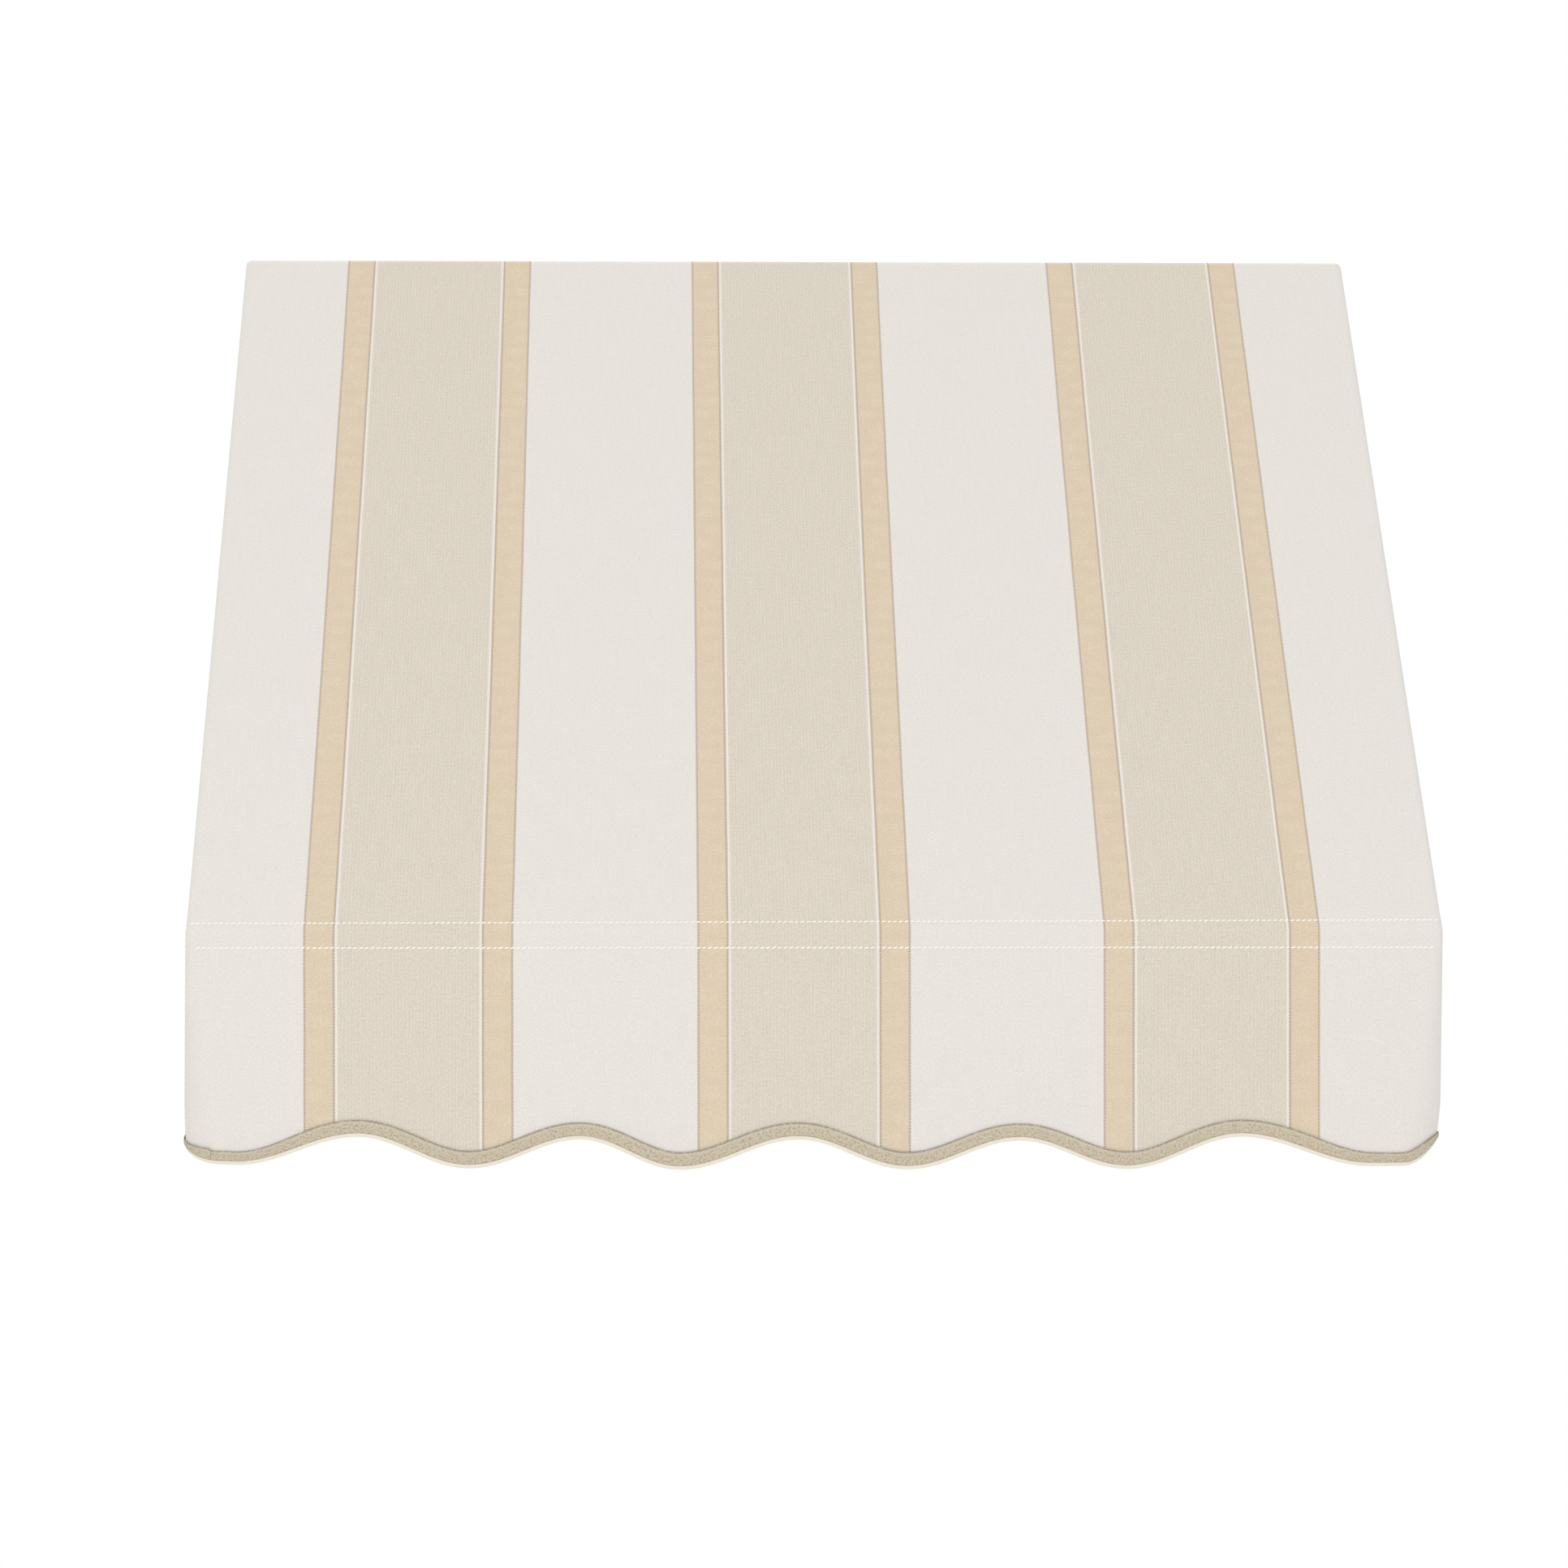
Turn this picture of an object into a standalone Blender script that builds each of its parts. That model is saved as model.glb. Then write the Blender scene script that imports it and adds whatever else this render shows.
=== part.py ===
"""Fixed-frame window awning: a striped cloth cover with a scalloped valance on a tube frame.

Metres, +Z up. The wall is the plane y = 0 and the awning stands out from it towards -Y.
The origin is the middle of the centre head bracket's back face, level with the head bar.
"""
import math

import bmesh
import bpy
from mathutils import Matrix, Vector

# Cover
COVER_WIDTH = 1.219
PROJECTION = 0.610
DROP = 0.711
CLOTH = 0.0009
CLEARANCE = 0.0003
RAFTER_EDGE_RADIUS = 0.0050
HEM_CORNER_RADIUS = 0.040
SIDE_LAP = 0.006
HEAD_COVER = math.radians(120)

# Valance hem
HEM_DEPTH = 0.2105
SCALLOP_HEIGHT = 0.028
SCALLOP_PERIOD = 0.2140
SCALLOP_OFFSET = -0.0195
END_SCALLOP = 0.136
CORNER_RISE = 0.085
WHOLE_SCALLOPS = 2
SAMPLES_PER_SCALLOP = 8

# Braid folded over the hem
BRAID = 0.0008
BRAID_HEIGHT = 0.0122
BRAID_LIP = 0.0025

# Stripes, measured across the cover from its middle and forward from the wall bar
GOLD_WIDTH = 0.0296
GOLD_CENTRES = (-0.4817, -0.3095, -0.1012, 0.0755, 0.2935, 0.4745)
WING_GOLD_CENTRES = (0.211, 0.388)

# Sleeves and pockets sewn round the bars
SLEEVE_FLANGE = 0.012
SLEEVE_CREASE = 0.0015
SLEEVE_SETBACK = 0.077
POCKET_SPLIT = math.radians(26)
BAR_BEND_STEPS = 3

# Tube frame
TUBE_RADIUS = 0.0127
TUBE_WALL = 0.0016
TUBE_SIDES = 24
BAR_STANDOFF = 0.020

# Cast fittings
FITTING_REACH = 0.042
NECK_STEP = 0.0007
SPIGOT_LENGTH = 0.034
SPIGOT_CHAMFER = 0.0015
FITTING_SIDES = 16
FOOT_PLATE_RISE = 0.018
FOOT_PLATE_FALL = 0.062
FOOT_PLATE_THICKNESS = 0.005
FOOT_PLATE_CORNER = 0.004
FOOT_HOLE_DROPS = (0.030, 0.051)
WALL_HOLE_RADIUS = 0.0033

# Head brackets
BRACKET_INSET = 0.058
BRACKET_WIDTH = 0.030
BRACKET_RISE = 0.0125
BRACKET_FALL = 0.060
BRACKET_PLATE = 0.004
BRACKET_HOOK = 0.0035
BRACKET_HOLE_DROPS = (0.028, 0.048)
HOOK_TOP = math.radians(5)
HOOK_END = math.radians(-163)
HOOK_STEPS = 14
NOTCH_MARGIN = 0.003

# Screws
SCREW_SHANK_RADIUS = 0.0021
SCREW_HEAD_RADIUS = 0.0041
SCREW_HEAD_HEIGHT = 0.0026
SCREW_CROWN_RADIUS = 0.0023
SCREW_CROWN_DROP = 0.0002
SCREW_SHOULDER_RADIUS = 0.0037
SCREW_SHOULDER_HEIGHT = 0.0016
SCREW_BITE = 0.006
SCREW_SETBACK = 0.018
SCREW_SIDES = 10

# Places that follow from the sizes above
SHEET_RADIUS = TUBE_RADIUS + CLEARANCE + CLOTH / 2
FLANGE_LEVEL = SHEET_RADIUS - CLOTH - CLEARANCE
COVER_HALF = COVER_WIDTH / 2 - CLOTH / 2
SIDE_X = COVER_HALF - SHEET_RADIUS
BACK_Y = -BAR_STANDOFF
FRONT_Y = CLOTH / 2 + SHEET_RADIUS - PROJECTION
RAFTER_LENGTH = math.hypot(DROP, BACK_Y - FRONT_Y)
DOWN_SLOPE = math.pi + math.atan2(DROP, BACK_Y - FRONT_Y)
STRAIGHT_DOWN = 3 * math.pi / 2
SLEEVE_HALF = SIDE_X - SLEEVE_SETBACK
BRACKET_PLACES = {"left": BRACKET_INSET - SLEEVE_HALF, "centre": 0.0, "right": SLEEVE_HALF - BRACKET_INSET}
EDGE_MIDDLE = RAFTER_EDGE_RADIUS - CLOTH / 2
HEM_CORNER_MIDDLE = HEM_CORNER_RADIUS - CLOTH / 2


class FoldPath:
    """The middle line of a sheet in section: straight runs and faceted bends, measured along it."""

    def __init__(self, start, heading):
        self.points = [Vector(start)]
        self.heading = heading
        self.drawn_heading = None

    def run(self, length):
        step = Vector((math.cos(self.heading), math.sin(self.heading))) * length
        if self.drawn_heading == self.heading:
            self.points[-1] = self.points[-1] + step
        else:
            self.points.append(self.points[-1] + step)
        self.drawn_heading = self.heading

    def bend(self, angle, radius, steps):
        """Turn by an angle, each facet touching the circle of the given radius."""
        turn = angle / steps
        tangent = radius * math.tan(abs(turn) / 2)
        for _ in range(steps):
            self.run(tangent)
            self.heading += turn
            self.run(tangent)

    def folds(self):
        """Distance along the sheet to each corner of the path."""
        distances = [0.0]
        for here, there in zip(self.points, self.points[1:]):
            distances.append(distances[-1] + (there - here).length)
        return distances

    def length(self):
        return self.folds()[-1]

    def outward(self, index):
        """The mitred outward direction at a corner, for one unit of offset."""
        sides = []
        for here, there in zip(self.points, self.points[1:]):
            along = (there - here).normalized()
            sides.append(Vector((along.y, -along.x)))
        before = sides[max(index - 1, 0)]
        after = sides[min(index, len(sides) - 1)]
        middle = (before + after).normalized()
        return middle / middle.dot(after)

    def at(self, distance):
        """Point and outward direction at a distance along the sheet; the end runs go on straight."""
        distances = self.folds()
        index = 0
        while index < len(distances) - 2 and distance > distances[index + 1]:
            index += 1
        share = (distance - distances[index]) / (distances[index + 1] - distances[index])
        point = self.points[index].lerp(self.points[index + 1], share)
        return point, self.outward(index).lerp(self.outward(index + 1), share)


def sleeve_path(centre, heading):
    """A sheet sewn to its own inner face, which goes round a bar and leaves along the heading."""
    along = Vector((math.cos(heading), math.sin(heading)))
    outward = Vector((along.y, -along.x))
    reach = SHEET_RADIUS + SLEEVE_CREASE + SLEEVE_FLANGE
    path = FoldPath(Vector(centre) + along * reach + outward * FLANGE_LEVEL, heading + math.pi)
    path.run(SLEEVE_FLANGE)
    path.bend(-math.pi / 2, SLEEVE_CREASE, 2)
    path.run(FLANGE_LEVEL - SLEEVE_CREASE)
    path.bend(3 * math.pi / 2, SHEET_RADIUS, 4 * BAR_BEND_STEPS)
    return path


# The cover's line in section, in (y, z): sleeve, slope, turn over the front bar, valance
CANOPY = sleeve_path((BACK_Y, 0.0), DOWN_SLOPE)
SLOPE_START = CANOPY.length()
CANOPY.run(RAFTER_LENGTH)
CANOPY.bend(STRAIGHT_DOWN - DOWN_SLOPE, SHEET_RADIUS, 2)
BAR_LEVEL = CANOPY.length()
CANOPY.run(HEM_DEPTH + SCALLOP_HEIGHT)
WRAP_END = SLOPE_START - SHEET_RADIUS * HEAD_COVER

# A wing's line in plan, in (y, x): sleeve round the wall bar, then flat to the front
WING = sleeve_path((BACK_Y, SIDE_X), math.pi)
WING_START = WING.length()
WING.run(PROJECTION)


def corner_radius(distance):
    """Radius of the turn at the cover's side: small along the rafters, wide at the hem."""
    share = max(0.0, (distance - BAR_LEVEL) / HEM_DEPTH)
    return EDGE_MIDDLE + (HEM_CORNER_MIDDLE - EDGE_MIDDLE) * share


def cover_point(across, distance, offset=0.0):
    """Where a point of the flat cloth lies once the cover is on its frame.

    Past the flat front the cloth turns round the corner and runs back along the side.
    """
    base, outward = CANOPY.at(distance)
    radius = corner_radius(distance)
    flat = COVER_HALF - radius
    past = max(0.0, abs(across) - flat)
    angle = min(past / radius, math.pi / 2)
    out = min(abs(across), flat) + (radius + offset) * math.sin(angle)
    inward = radius - (radius + offset) * math.cos(angle) + max(0.0, past - radius * math.pi / 2)
    place = base - outward * inward
    return Vector((math.copysign(out, across), place.x, place.y))


def hem_depth(across):
    """Depth of the scalloped hem below the front bar.

    The last scallop of the front is longer, and the hem rises faster where it turns the corner.
    """
    past = abs(across - SCALLOP_OFFSET) - WHOLE_SCALLOPS * SCALLOP_PERIOD
    past_rise = past - END_SCALLOP - CORNER_RISE
    if past <= 0:
        cycles = past / SCALLOP_PERIOD
    elif past < END_SCALLOP:
        cycles = past / END_SCALLOP / 2
    elif past_rise < 0:
        cycles = 1.0 + past_rise / CORNER_RISE / 2
    else:
        cycles = 1.0 + past_rise / SCALLOP_PERIOD
    return HEM_DEPTH - SCALLOP_HEIGHT / 2 * math.cos(2 * math.pi * cycles)


def side_edge(distance):
    """Distance across the cloth to the seam with the wing."""
    radius = corner_radius(distance)
    return COVER_HALF - radius + radius * math.pi / 2 + SIDE_LAP


def hem_seam(side):
    """The seam's place across the cloth at the hem, where the turn depends on the depth."""
    across = side_edge(BAR_LEVEL + HEM_DEPTH)
    for _ in range(8):
        across = side_edge(BAR_LEVEL + hem_depth(side * across))
    return side * across


def corner_lines():
    """Creases that facet the turn at the sides, both where it is small and where it is wide."""
    small = [COVER_HALF + EDGE_MIDDLE * (math.pi / 2 * step / 3 - 1) for step in range(4)]
    wide = [COVER_HALF + HEM_CORNER_MIDDLE * (math.pi / 2 * step / 6 - 1) for step in range(7)]
    lines = small + [line for line in wide if min(abs(line - other) for other in small) > EDGE_MIDDLE / 2]
    return sorted([-line for line in lines] + lines)


def hem_stations():
    """Places along the hem, from the wall on the left round the front to the wall on the right."""
    end = COVER_HALF + PROJECTION - CLOTH / 2 - BAR_STANDOFF - HEM_CORNER_MIDDLE * (2 - math.pi / 2)
    fixed = corner_lines() + [hem_seam(-1), hem_seam(1)]
    spacing = SCALLOP_PERIOD / SAMPLES_PER_SCALLOP
    count = round(2 * end / spacing)
    evenly = [end * (2 * step / count - 1) for step in range(count + 1)]
    free = [place for place in evenly if min(abs(place - other) for other in fixed) > spacing / 5]
    return sorted(fixed + free)


HEM_STATIONS = hem_stations()


def collection(name):
    made = bpy.data.collections.new(name)
    bpy.context.scene.collection.children.link(made)
    return made


def material(name, colour, roughness, metallic=0.0):
    made = bpy.data.materials.new(name)
    made.use_nodes = True
    made.diffuse_color = (*colour, 1.0)
    shader = made.node_tree.nodes["Principled BSDF"]
    shader.inputs["Base Color"].default_value = (*colour, 1.0)
    shader.inputs["Roughness"].default_value = roughness
    shader.inputs["Metallic"].default_value = metallic
    return made


def frame_matrix(origin, axis, side=None):
    """A placement with its Z along the axis and its X as near the given side as it can be."""
    up = Vector(axis).normalized()
    across = Vector(side) if side is not None else up.orthogonal()
    across = (across - up * across.dot(up)).normalized()
    return Matrix.Translation(origin) @ Matrix((across, up.cross(across), up)).transposed().to_4x4()


class Awning:
    """Holds the parts' and cutters' collections, the materials and the root that carries all."""

    def __init__(self):
        self.parts = collection("window_awning")
        self.cutters = collection("window_awning_cutters")
        self.root = bpy.data.objects.new("awning_root", None)
        self.parts.objects.link(self.root)
        self.cream = material("cream_cloth", (0.80, 0.76, 0.71), 0.9)
        self.linen = material("linen_cloth", (0.73, 0.66, 0.57), 0.9)
        self.gold = material("gold_cloth", (0.76, 0.63, 0.47), 0.9)
        self.braid = material("khaki_braid", (0.57, 0.49, 0.36), 0.9)
        self.braid_edge = material("cream_braid_edge", (0.85, 0.79, 0.68), 0.9)
        self.tube = material("satin_aluminium_tube", (0.72, 0.73, 0.74), 0.35, 1.0)
        self.casting = material("cast_aluminium", (0.55, 0.56, 0.57), 0.55, 1.0)
        self.steel = material("zinc_plated_steel", (0.62, 0.62, 0.60), 0.4, 1.0)

    def part(self, name, mesh, materials, matrix=None):
        made = bpy.data.objects.new(name, mesh)
        for slot in materials:
            mesh.materials.append(slot)
        self.parts.objects.link(made)
        made.parent = self.root
        if matrix is not None:
            made.matrix_world = matrix
        return made

    def cutter(self, name, mesh, matrix):
        made = bpy.data.objects.new(name, mesh)
        self.cutters.objects.link(made)
        made.matrix_world = matrix
        made.hide_render = True
        made.display_type = "WIRE"
        return made


def combine(part, tool, operation):
    """Cut a tool from a part, or join it on."""
    modifier = part.modifiers.new(tool.name, "BOOLEAN")
    modifier.operation = operation
    modifier.solver = "EXACT"
    modifier.object = tool


def smooth(mesh, angle=math.radians(35)):
    mesh.shade_smooth()
    mesh.set_sharp_from_angle(angle=angle)


def mesh_from(shape, name):
    mesh = bpy.data.meshes.new(name)
    shape.to_mesh(mesh)
    shape.free()
    return mesh


def turned(made, profile, sides):
    """Turn a profile of (radius, height), top to bottom, round the object's Z axis."""
    shape = bmesh.new()
    corners = [shape.verts.new((radius, 0.0, height)) for radius, height in profile]
    for here, there in zip(corners, corners[1:]):
        shape.edges.new((here, there))
    shape.to_mesh(made.data)
    shape.free()
    screw = made.modifiers.new("turned", "SCREW")
    screw.steps = sides
    screw.render_steps = sides
    screw.use_merge_vertices = True
    screw.merge_threshold = 0.00001
    screw.use_smooth_shade = True
    return made


def round_bar(radius, height, sides):
    """A plain round solid, its middle at the origin, along Z."""
    shape = bmesh.new()
    bmesh.ops.create_cone(shape, cap_ends=True, segments=sides, radius1=radius, radius2=radius, depth=height)
    return mesh_from(shape, "round")


def cut_pattern(outline, across_lines, along_lines):
    """A flat piece of cloth with the given outline, creased along the given lines."""
    pattern = bmesh.new()
    corners = [pattern.verts.new((across, along, 0.0)) for across, along in outline]
    pattern.faces.new(corners)
    for axis, lines in ((Vector((1, 0, 0)), across_lines), (Vector((0, 1, 0)), along_lines)):
        for line in lines:
            everything = pattern.verts[:] + pattern.edges[:] + pattern.faces[:]
            bmesh.ops.bisect_plane(
                pattern, geom=everything, dist=0.000001, plane_co=axis * line, plane_no=axis
            )
    return pattern


def sewn_sheet(awning, name, pattern, field, fold, thickness, materials):
    """Colour the pattern's fields, fold it into place and give it its thickness."""
    for face in pattern.faces:
        middle = face.calc_center_median()
        face.material_index = field(middle.x, middle.y)
    for corner in pattern.verts:
        corner.co = fold(corner.co.x, corner.co.y)
    mesh = mesh_from(pattern, name)
    made = awning.part(name, mesh, materials)
    smooth(mesh)
    shell = made.modifiers.new("thickness", "SOLIDIFY")
    shell.thickness = thickness
    shell.offset = 0.0
    shell.use_even_offset = True
    shell.use_rim = True
    return made


def stripe_edges(centres):
    return [centre + side * GOLD_WIDTH / 2 for centre in centres for side in (-1, 1)]


def stripe_field(place, centres):
    """0 cream, 1 linen between a pair of gold stripes, 2 gold."""
    if any(abs(place - centre) < GOLD_WIDTH / 2 for centre in centres):
        return 2
    return sum(centre < place for centre in centres) % 2


def canopy_outline():
    """The canopy as cut: notched at the brackets, scalloped at the hem, wider where it turns."""
    edge = side_edge(SLOPE_START)
    notch = BRACKET_WIDTH / 2 + NOTCH_MARGIN
    outline = [(-edge, WRAP_END), (-SLEEVE_HALF, WRAP_END), (-SLEEVE_HALF, 0.0)]
    for place in BRACKET_PLACES.values():
        outline += [(place - notch, 0.0), (place - notch, WRAP_END)]
        outline += [(place + notch, WRAP_END), (place + notch, 0.0)]
    outline += [(SLEEVE_HALF, 0.0), (SLEEVE_HALF, WRAP_END), (edge, WRAP_END), (edge, BAR_LEVEL)]
    front = [place for place in HEM_STATIONS if hem_seam(-1) <= place <= hem_seam(1)]
    outline += [(place, BAR_LEVEL + hem_depth(place)) for place in reversed(front)]
    outline.append((-edge, BAR_LEVEL))
    return outline


def make_canopy(awning):
    across_lines = stripe_edges(GOLD_CENTRES) + corner_lines()
    along_lines = CANOPY.folds()[1:-1] + [BAR_LEVEL, BAR_LEVEL + HEM_DEPTH / 2]
    pattern = cut_pattern(canopy_outline(), across_lines, along_lines)
    sewn_sheet(
        awning,
        "canopy_cloth",
        pattern,
        lambda across, along: stripe_field(across, GOLD_CENTRES),
        cover_point,
        CLOTH,
        (awning.cream, awning.linen, awning.gold),
    )


def wing_outline(side):
    """A wing as cut, by distance along its own line and height: triangle, valance and sleeve."""
    seam_depth = EDGE_MIDDLE + SIDE_LAP + CLEARANCE
    seam = [SLOPE_START] + [fold for fold in CANOPY.folds() if SLOPE_START < fold < BAR_LEVEL] + [BAR_LEVEL]
    edge = []
    for distance in seam:
        base, outward = CANOPY.at(distance)
        edge.append(base - outward * seam_depth)
    places = [abs(hem_seam(side)) + CLEARANCE]
    places += [abs(place) for place in HEM_STATIONS if side * place > places[0] + CLEARANCE][::side]
    for place in places:
        hem = cover_point(side * place, BAR_LEVEL + hem_depth(side * place))
        edge.append(Vector((hem.y, hem.z)))
    outline = [(WING_START + BACK_Y - point.x, point.y) for point in edge]
    outline[-1] = (WING_START, outline[-1][1])
    top = -SLEEVE_SETBACK
    bottom = SLEEVE_SETBACK - DROP
    outline += [(WING_START, bottom), (0.0, bottom), (0.0, top), (WING_START, top), (WING_START, edge[0].y)]
    return outline


def make_wing(awning, name, side):
    gold_places = [WING_START + centre for centre in WING_GOLD_CENTRES]
    pattern = cut_pattern(wing_outline(side), WING.folds()[1:-1] + stripe_edges(gold_places), [])

    def fold(distance, height):
        point, _ = WING.at(distance)
        return Vector((side * point.y, point.x, height))

    sewn_sheet(
        awning,
        name + "_wing",
        pattern,
        lambda distance, height: stripe_field(distance, gold_places),
        fold,
        CLOTH,
        (awning.cream, awning.linen, awning.gold),
    )


def make_pocket(awning, name, path, start, end, fold):
    """A strip of cream cloth sewn behind a bar, from one end of the bar's free length to the other."""
    length = path.length()
    outline = [(start, 0.0), (end, 0.0), (end, length), (start, length)]
    pattern = cut_pattern(outline, [], path.folds()[1:-1])
    sewn_sheet(awning, name, pattern, lambda across, along: 0, fold, CLOTH, (awning.cream,))


def make_front_pocket(awning):
    """It leaves the slope just above the bar, goes round its back and meets the valance below it."""
    start_angle = DOWN_SLOPE - math.pi / 2 - POCKET_SPLIT
    start = Vector((FRONT_Y, -DROP)) + Vector((math.cos(start_angle), math.sin(start_angle))) * SHEET_RADIUS
    path = FoldPath(start, start_angle - math.pi / 2)
    path.bend(-math.pi / 2 - start_angle, SHEET_RADIUS, 3 * BAR_BEND_STEPS)
    path.run(FLANGE_LEVEL - SLEEVE_CREASE)
    path.bend(math.pi / 2, SLEEVE_CREASE, 2)
    path.run(SLEEVE_FLANGE)

    def fold(across, distance):
        point, _ = path.at(distance)
        return Vector((across, point.x, point.y))

    make_pocket(awning, "front_bar_pocket", path, -SLEEVE_HALF, SLEEVE_HALF, fold)


def make_side_pocket(awning, name, side):
    """It holds the side bar against the wing, sewn to the wing above and below the bar."""
    top = SHEET_RADIUS + SLEEVE_CREASE + SLEEVE_FLANGE
    path = FoldPath((SIDE_X + FLANGE_LEVEL, top - DROP), -math.pi / 2)
    path.run(SLEEVE_FLANGE)
    path.bend(-math.pi / 2, SLEEVE_CREASE, 2)
    path.run(FLANGE_LEVEL - SLEEVE_CREASE)
    path.bend(math.pi, SHEET_RADIUS, 3 * BAR_BEND_STEPS)
    path.run(FLANGE_LEVEL - SLEEVE_CREASE)
    path.bend(-math.pi / 2, SLEEVE_CREASE, 2)
    path.run(SLEEVE_FLANGE)

    def fold(across, distance):
        point, _ = path.at(distance)
        return Vector((side * point.x, across, point.y))

    make_pocket(awning, name + "_bar_pocket", path, FRONT_Y + SLEEVE_SETBACK, BACK_Y - SLEEVE_SETBACK, fold)


def make_braid(awning):
    """One length of braid folded over the hem, round the left side, the front and the right."""
    half_gap = CLOTH / 2 + CLEARANCE + BRAID / 2
    path = FoldPath((half_gap, BRAID_HEIGHT), -math.pi / 2)
    path.run(BRAID_HEIGHT + BRAID_LIP)
    path.bend(-math.pi, half_gap, 3)
    path.run(BRAID_HEIGHT + BRAID_LIP)
    length = path.length()
    first, last = HEM_STATIONS[0], HEM_STATIONS[-1]
    outline = [(first, 0.0), (last, 0.0), (last, length), (first, length)]
    edge_lines = [BRAID_HEIGHT, length - BRAID_HEIGHT]
    pattern = cut_pattern(outline, HEM_STATIONS[1:-1], path.folds()[1:-1] + edge_lines)

    def fold(across, distance):
        point, _ = path.at(distance)
        rate = (hem_depth(across + CLEARANCE) - hem_depth(across - CLEARANCE)) / (2 * CLEARANCE)
        rise = point.y * math.hypot(1.0, rate)
        return cover_point(across, BAR_LEVEL + hem_depth(across) - rise, point.x)

    sewn_sheet(
        awning,
        "valance_braid",
        pattern,
        lambda across, along: int(edge_lines[0] < along < edge_lines[1]),
        fold,
        BRAID,
        (awning.braid, awning.braid_edge),
    )


def make_tube(awning, name, start, end):
    """A hollow tube between two fittings, open at its ends."""
    shape = bmesh.new()
    length = (end - start).length - 2 * (FITTING_REACH + CLEARANCE)
    bmesh.ops.create_cone(
        shape, cap_ends=False, segments=TUBE_SIDES, radius1=TUBE_RADIUS, radius2=TUBE_RADIUS, depth=length
    )
    mesh = mesh_from(shape, name)
    smooth(mesh)
    made = awning.part(name, mesh, (awning.tube,), frame_matrix((start + end) / 2, end - start))
    wall = made.modifiers.new("wall", "SOLIDIFY")
    wall.thickness = TUBE_WALL
    wall.offset = -1.0
    wall.use_even_offset = True
    return made


def make_screw(awning, name, seat, direction, shank):
    """A pan-head screw with its seat at the given point, and the cutter for its hole."""
    placement = frame_matrix(seat, direction)
    profile = [
        (0.0, SCREW_HEAD_HEIGHT),
        (SCREW_CROWN_RADIUS, SCREW_HEAD_HEIGHT - SCREW_CROWN_DROP),
        (SCREW_SHOULDER_RADIUS, SCREW_SHOULDER_HEIGHT),
        (SCREW_HEAD_RADIUS, 0.0),
        (SCREW_SHANK_RADIUS, 0.0),
        (SCREW_SHANK_RADIUS, -shank),
        (0.0, -shank - SCREW_SHANK_RADIUS / 2),
    ]
    made = awning.part(name, bpy.data.meshes.new(name), (awning.steel,), placement)
    turned(made, profile, SCREW_SIDES)
    depth = shank + SCREW_SHANK_RADIUS
    hole = round_bar(SCREW_SHANK_RADIUS + CLEARANCE, 2 * depth, SCREW_SIDES)
    return awning.cutter(name + "_hole", hole, placement)


def make_fitting(awning, name, centre, arms):
    """A cast ball with a necked spigot for each tube that meets there."""
    shape = bmesh.new()
    bmesh.ops.create_uvsphere(
        shape, u_segments=FITTING_SIDES, v_segments=FITTING_SIDES // 2, radius=TUBE_RADIUS
    )
    mesh = mesh_from(shape, name)
    smooth(mesh)
    made = awning.part(name, mesh, (awning.casting,), Matrix.Translation(centre))
    neck = TUBE_RADIUS - NECK_STEP
    spigot = TUBE_RADIUS - TUBE_WALL - CLEARANCE
    tip = FITTING_REACH + SPIGOT_LENGTH
    profile = [
        (0.0, tip),
        (spigot - SPIGOT_CHAMFER, tip),
        (spigot, tip - SPIGOT_CHAMFER),
        (spigot, FITTING_REACH),
        (neck, FITTING_REACH),
        (neck, 0.0),
        (0.0, 0.0),
    ]
    for number, direction in enumerate(arms):
        label = f"{name}_arm_{number}"
        arm = awning.cutter(label, bpy.data.meshes.new(label), frame_matrix(centre, direction))
        turned(arm, profile, FITTING_SIDES)
        combine(made, arm, "UNION")
    return made


def add_wall_plate(awning, foot, centre):
    """The foot's plate against the wall, with its boss and two screw holes below the tubes."""
    reach = BAR_STANDOFF - FOOT_PLATE_THICKNESS / 2
    boss = round_bar(TUBE_RADIUS - NECK_STEP, reach, FITTING_SIDES)
    boss_place = frame_matrix(centre + Vector((0, reach / 2, 0)), (0, 1, 0))
    combine(foot, awning.cutter(foot.name + "_boss", boss, boss_place), "UNION")
    shape = bmesh.new()
    bmesh.ops.create_cube(shape, size=1.0)
    height = FOOT_PLATE_RISE + FOOT_PLATE_FALL
    size = Vector((2 * TUBE_RADIUS, FOOT_PLATE_THICKNESS, height))
    bmesh.ops.scale(shape, vec=size, verts=shape.verts)
    through = []
    for edge in shape.edges:
        start, end = edge.verts
        if abs(start.co.y - end.co.y) > FOOT_PLATE_THICKNESS / 2:
            through.append(edge)
    bmesh.ops.bevel(shape, geom=through, offset=FOOT_PLATE_CORNER, segments=3, affect="EDGES", profile=0.5)
    middle = Vector((centre.x, -FOOT_PLATE_THICKNESS / 2, centre.z + (FOOT_PLATE_RISE - FOOT_PLATE_FALL) / 2))
    plate = awning.cutter(foot.name + "_plate", mesh_from(shape, "plate"), Matrix.Translation(middle))
    combine(foot, plate, "UNION")
    for number, drop in enumerate(FOOT_HOLE_DROPS):
        hole = round_bar(WALL_HOLE_RADIUS, 4 * FOOT_PLATE_THICKNESS, FITTING_SIDES)
        place = Vector((centre.x, 0.0, centre.z - drop))
        tool = awning.cutter(f"{foot.name}_hole_{number}", hole, frame_matrix(place, (0, 1, 0)))
        combine(foot, tool, "DIFFERENCE")


def arc(centre, radius, start, end, steps):
    turn = (end - start) / steps
    return [
        (centre + radius * math.cos(start + turn * step), radius * math.sin(start + turn * step))
        for step in range(steps + 1)
    ]


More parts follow.
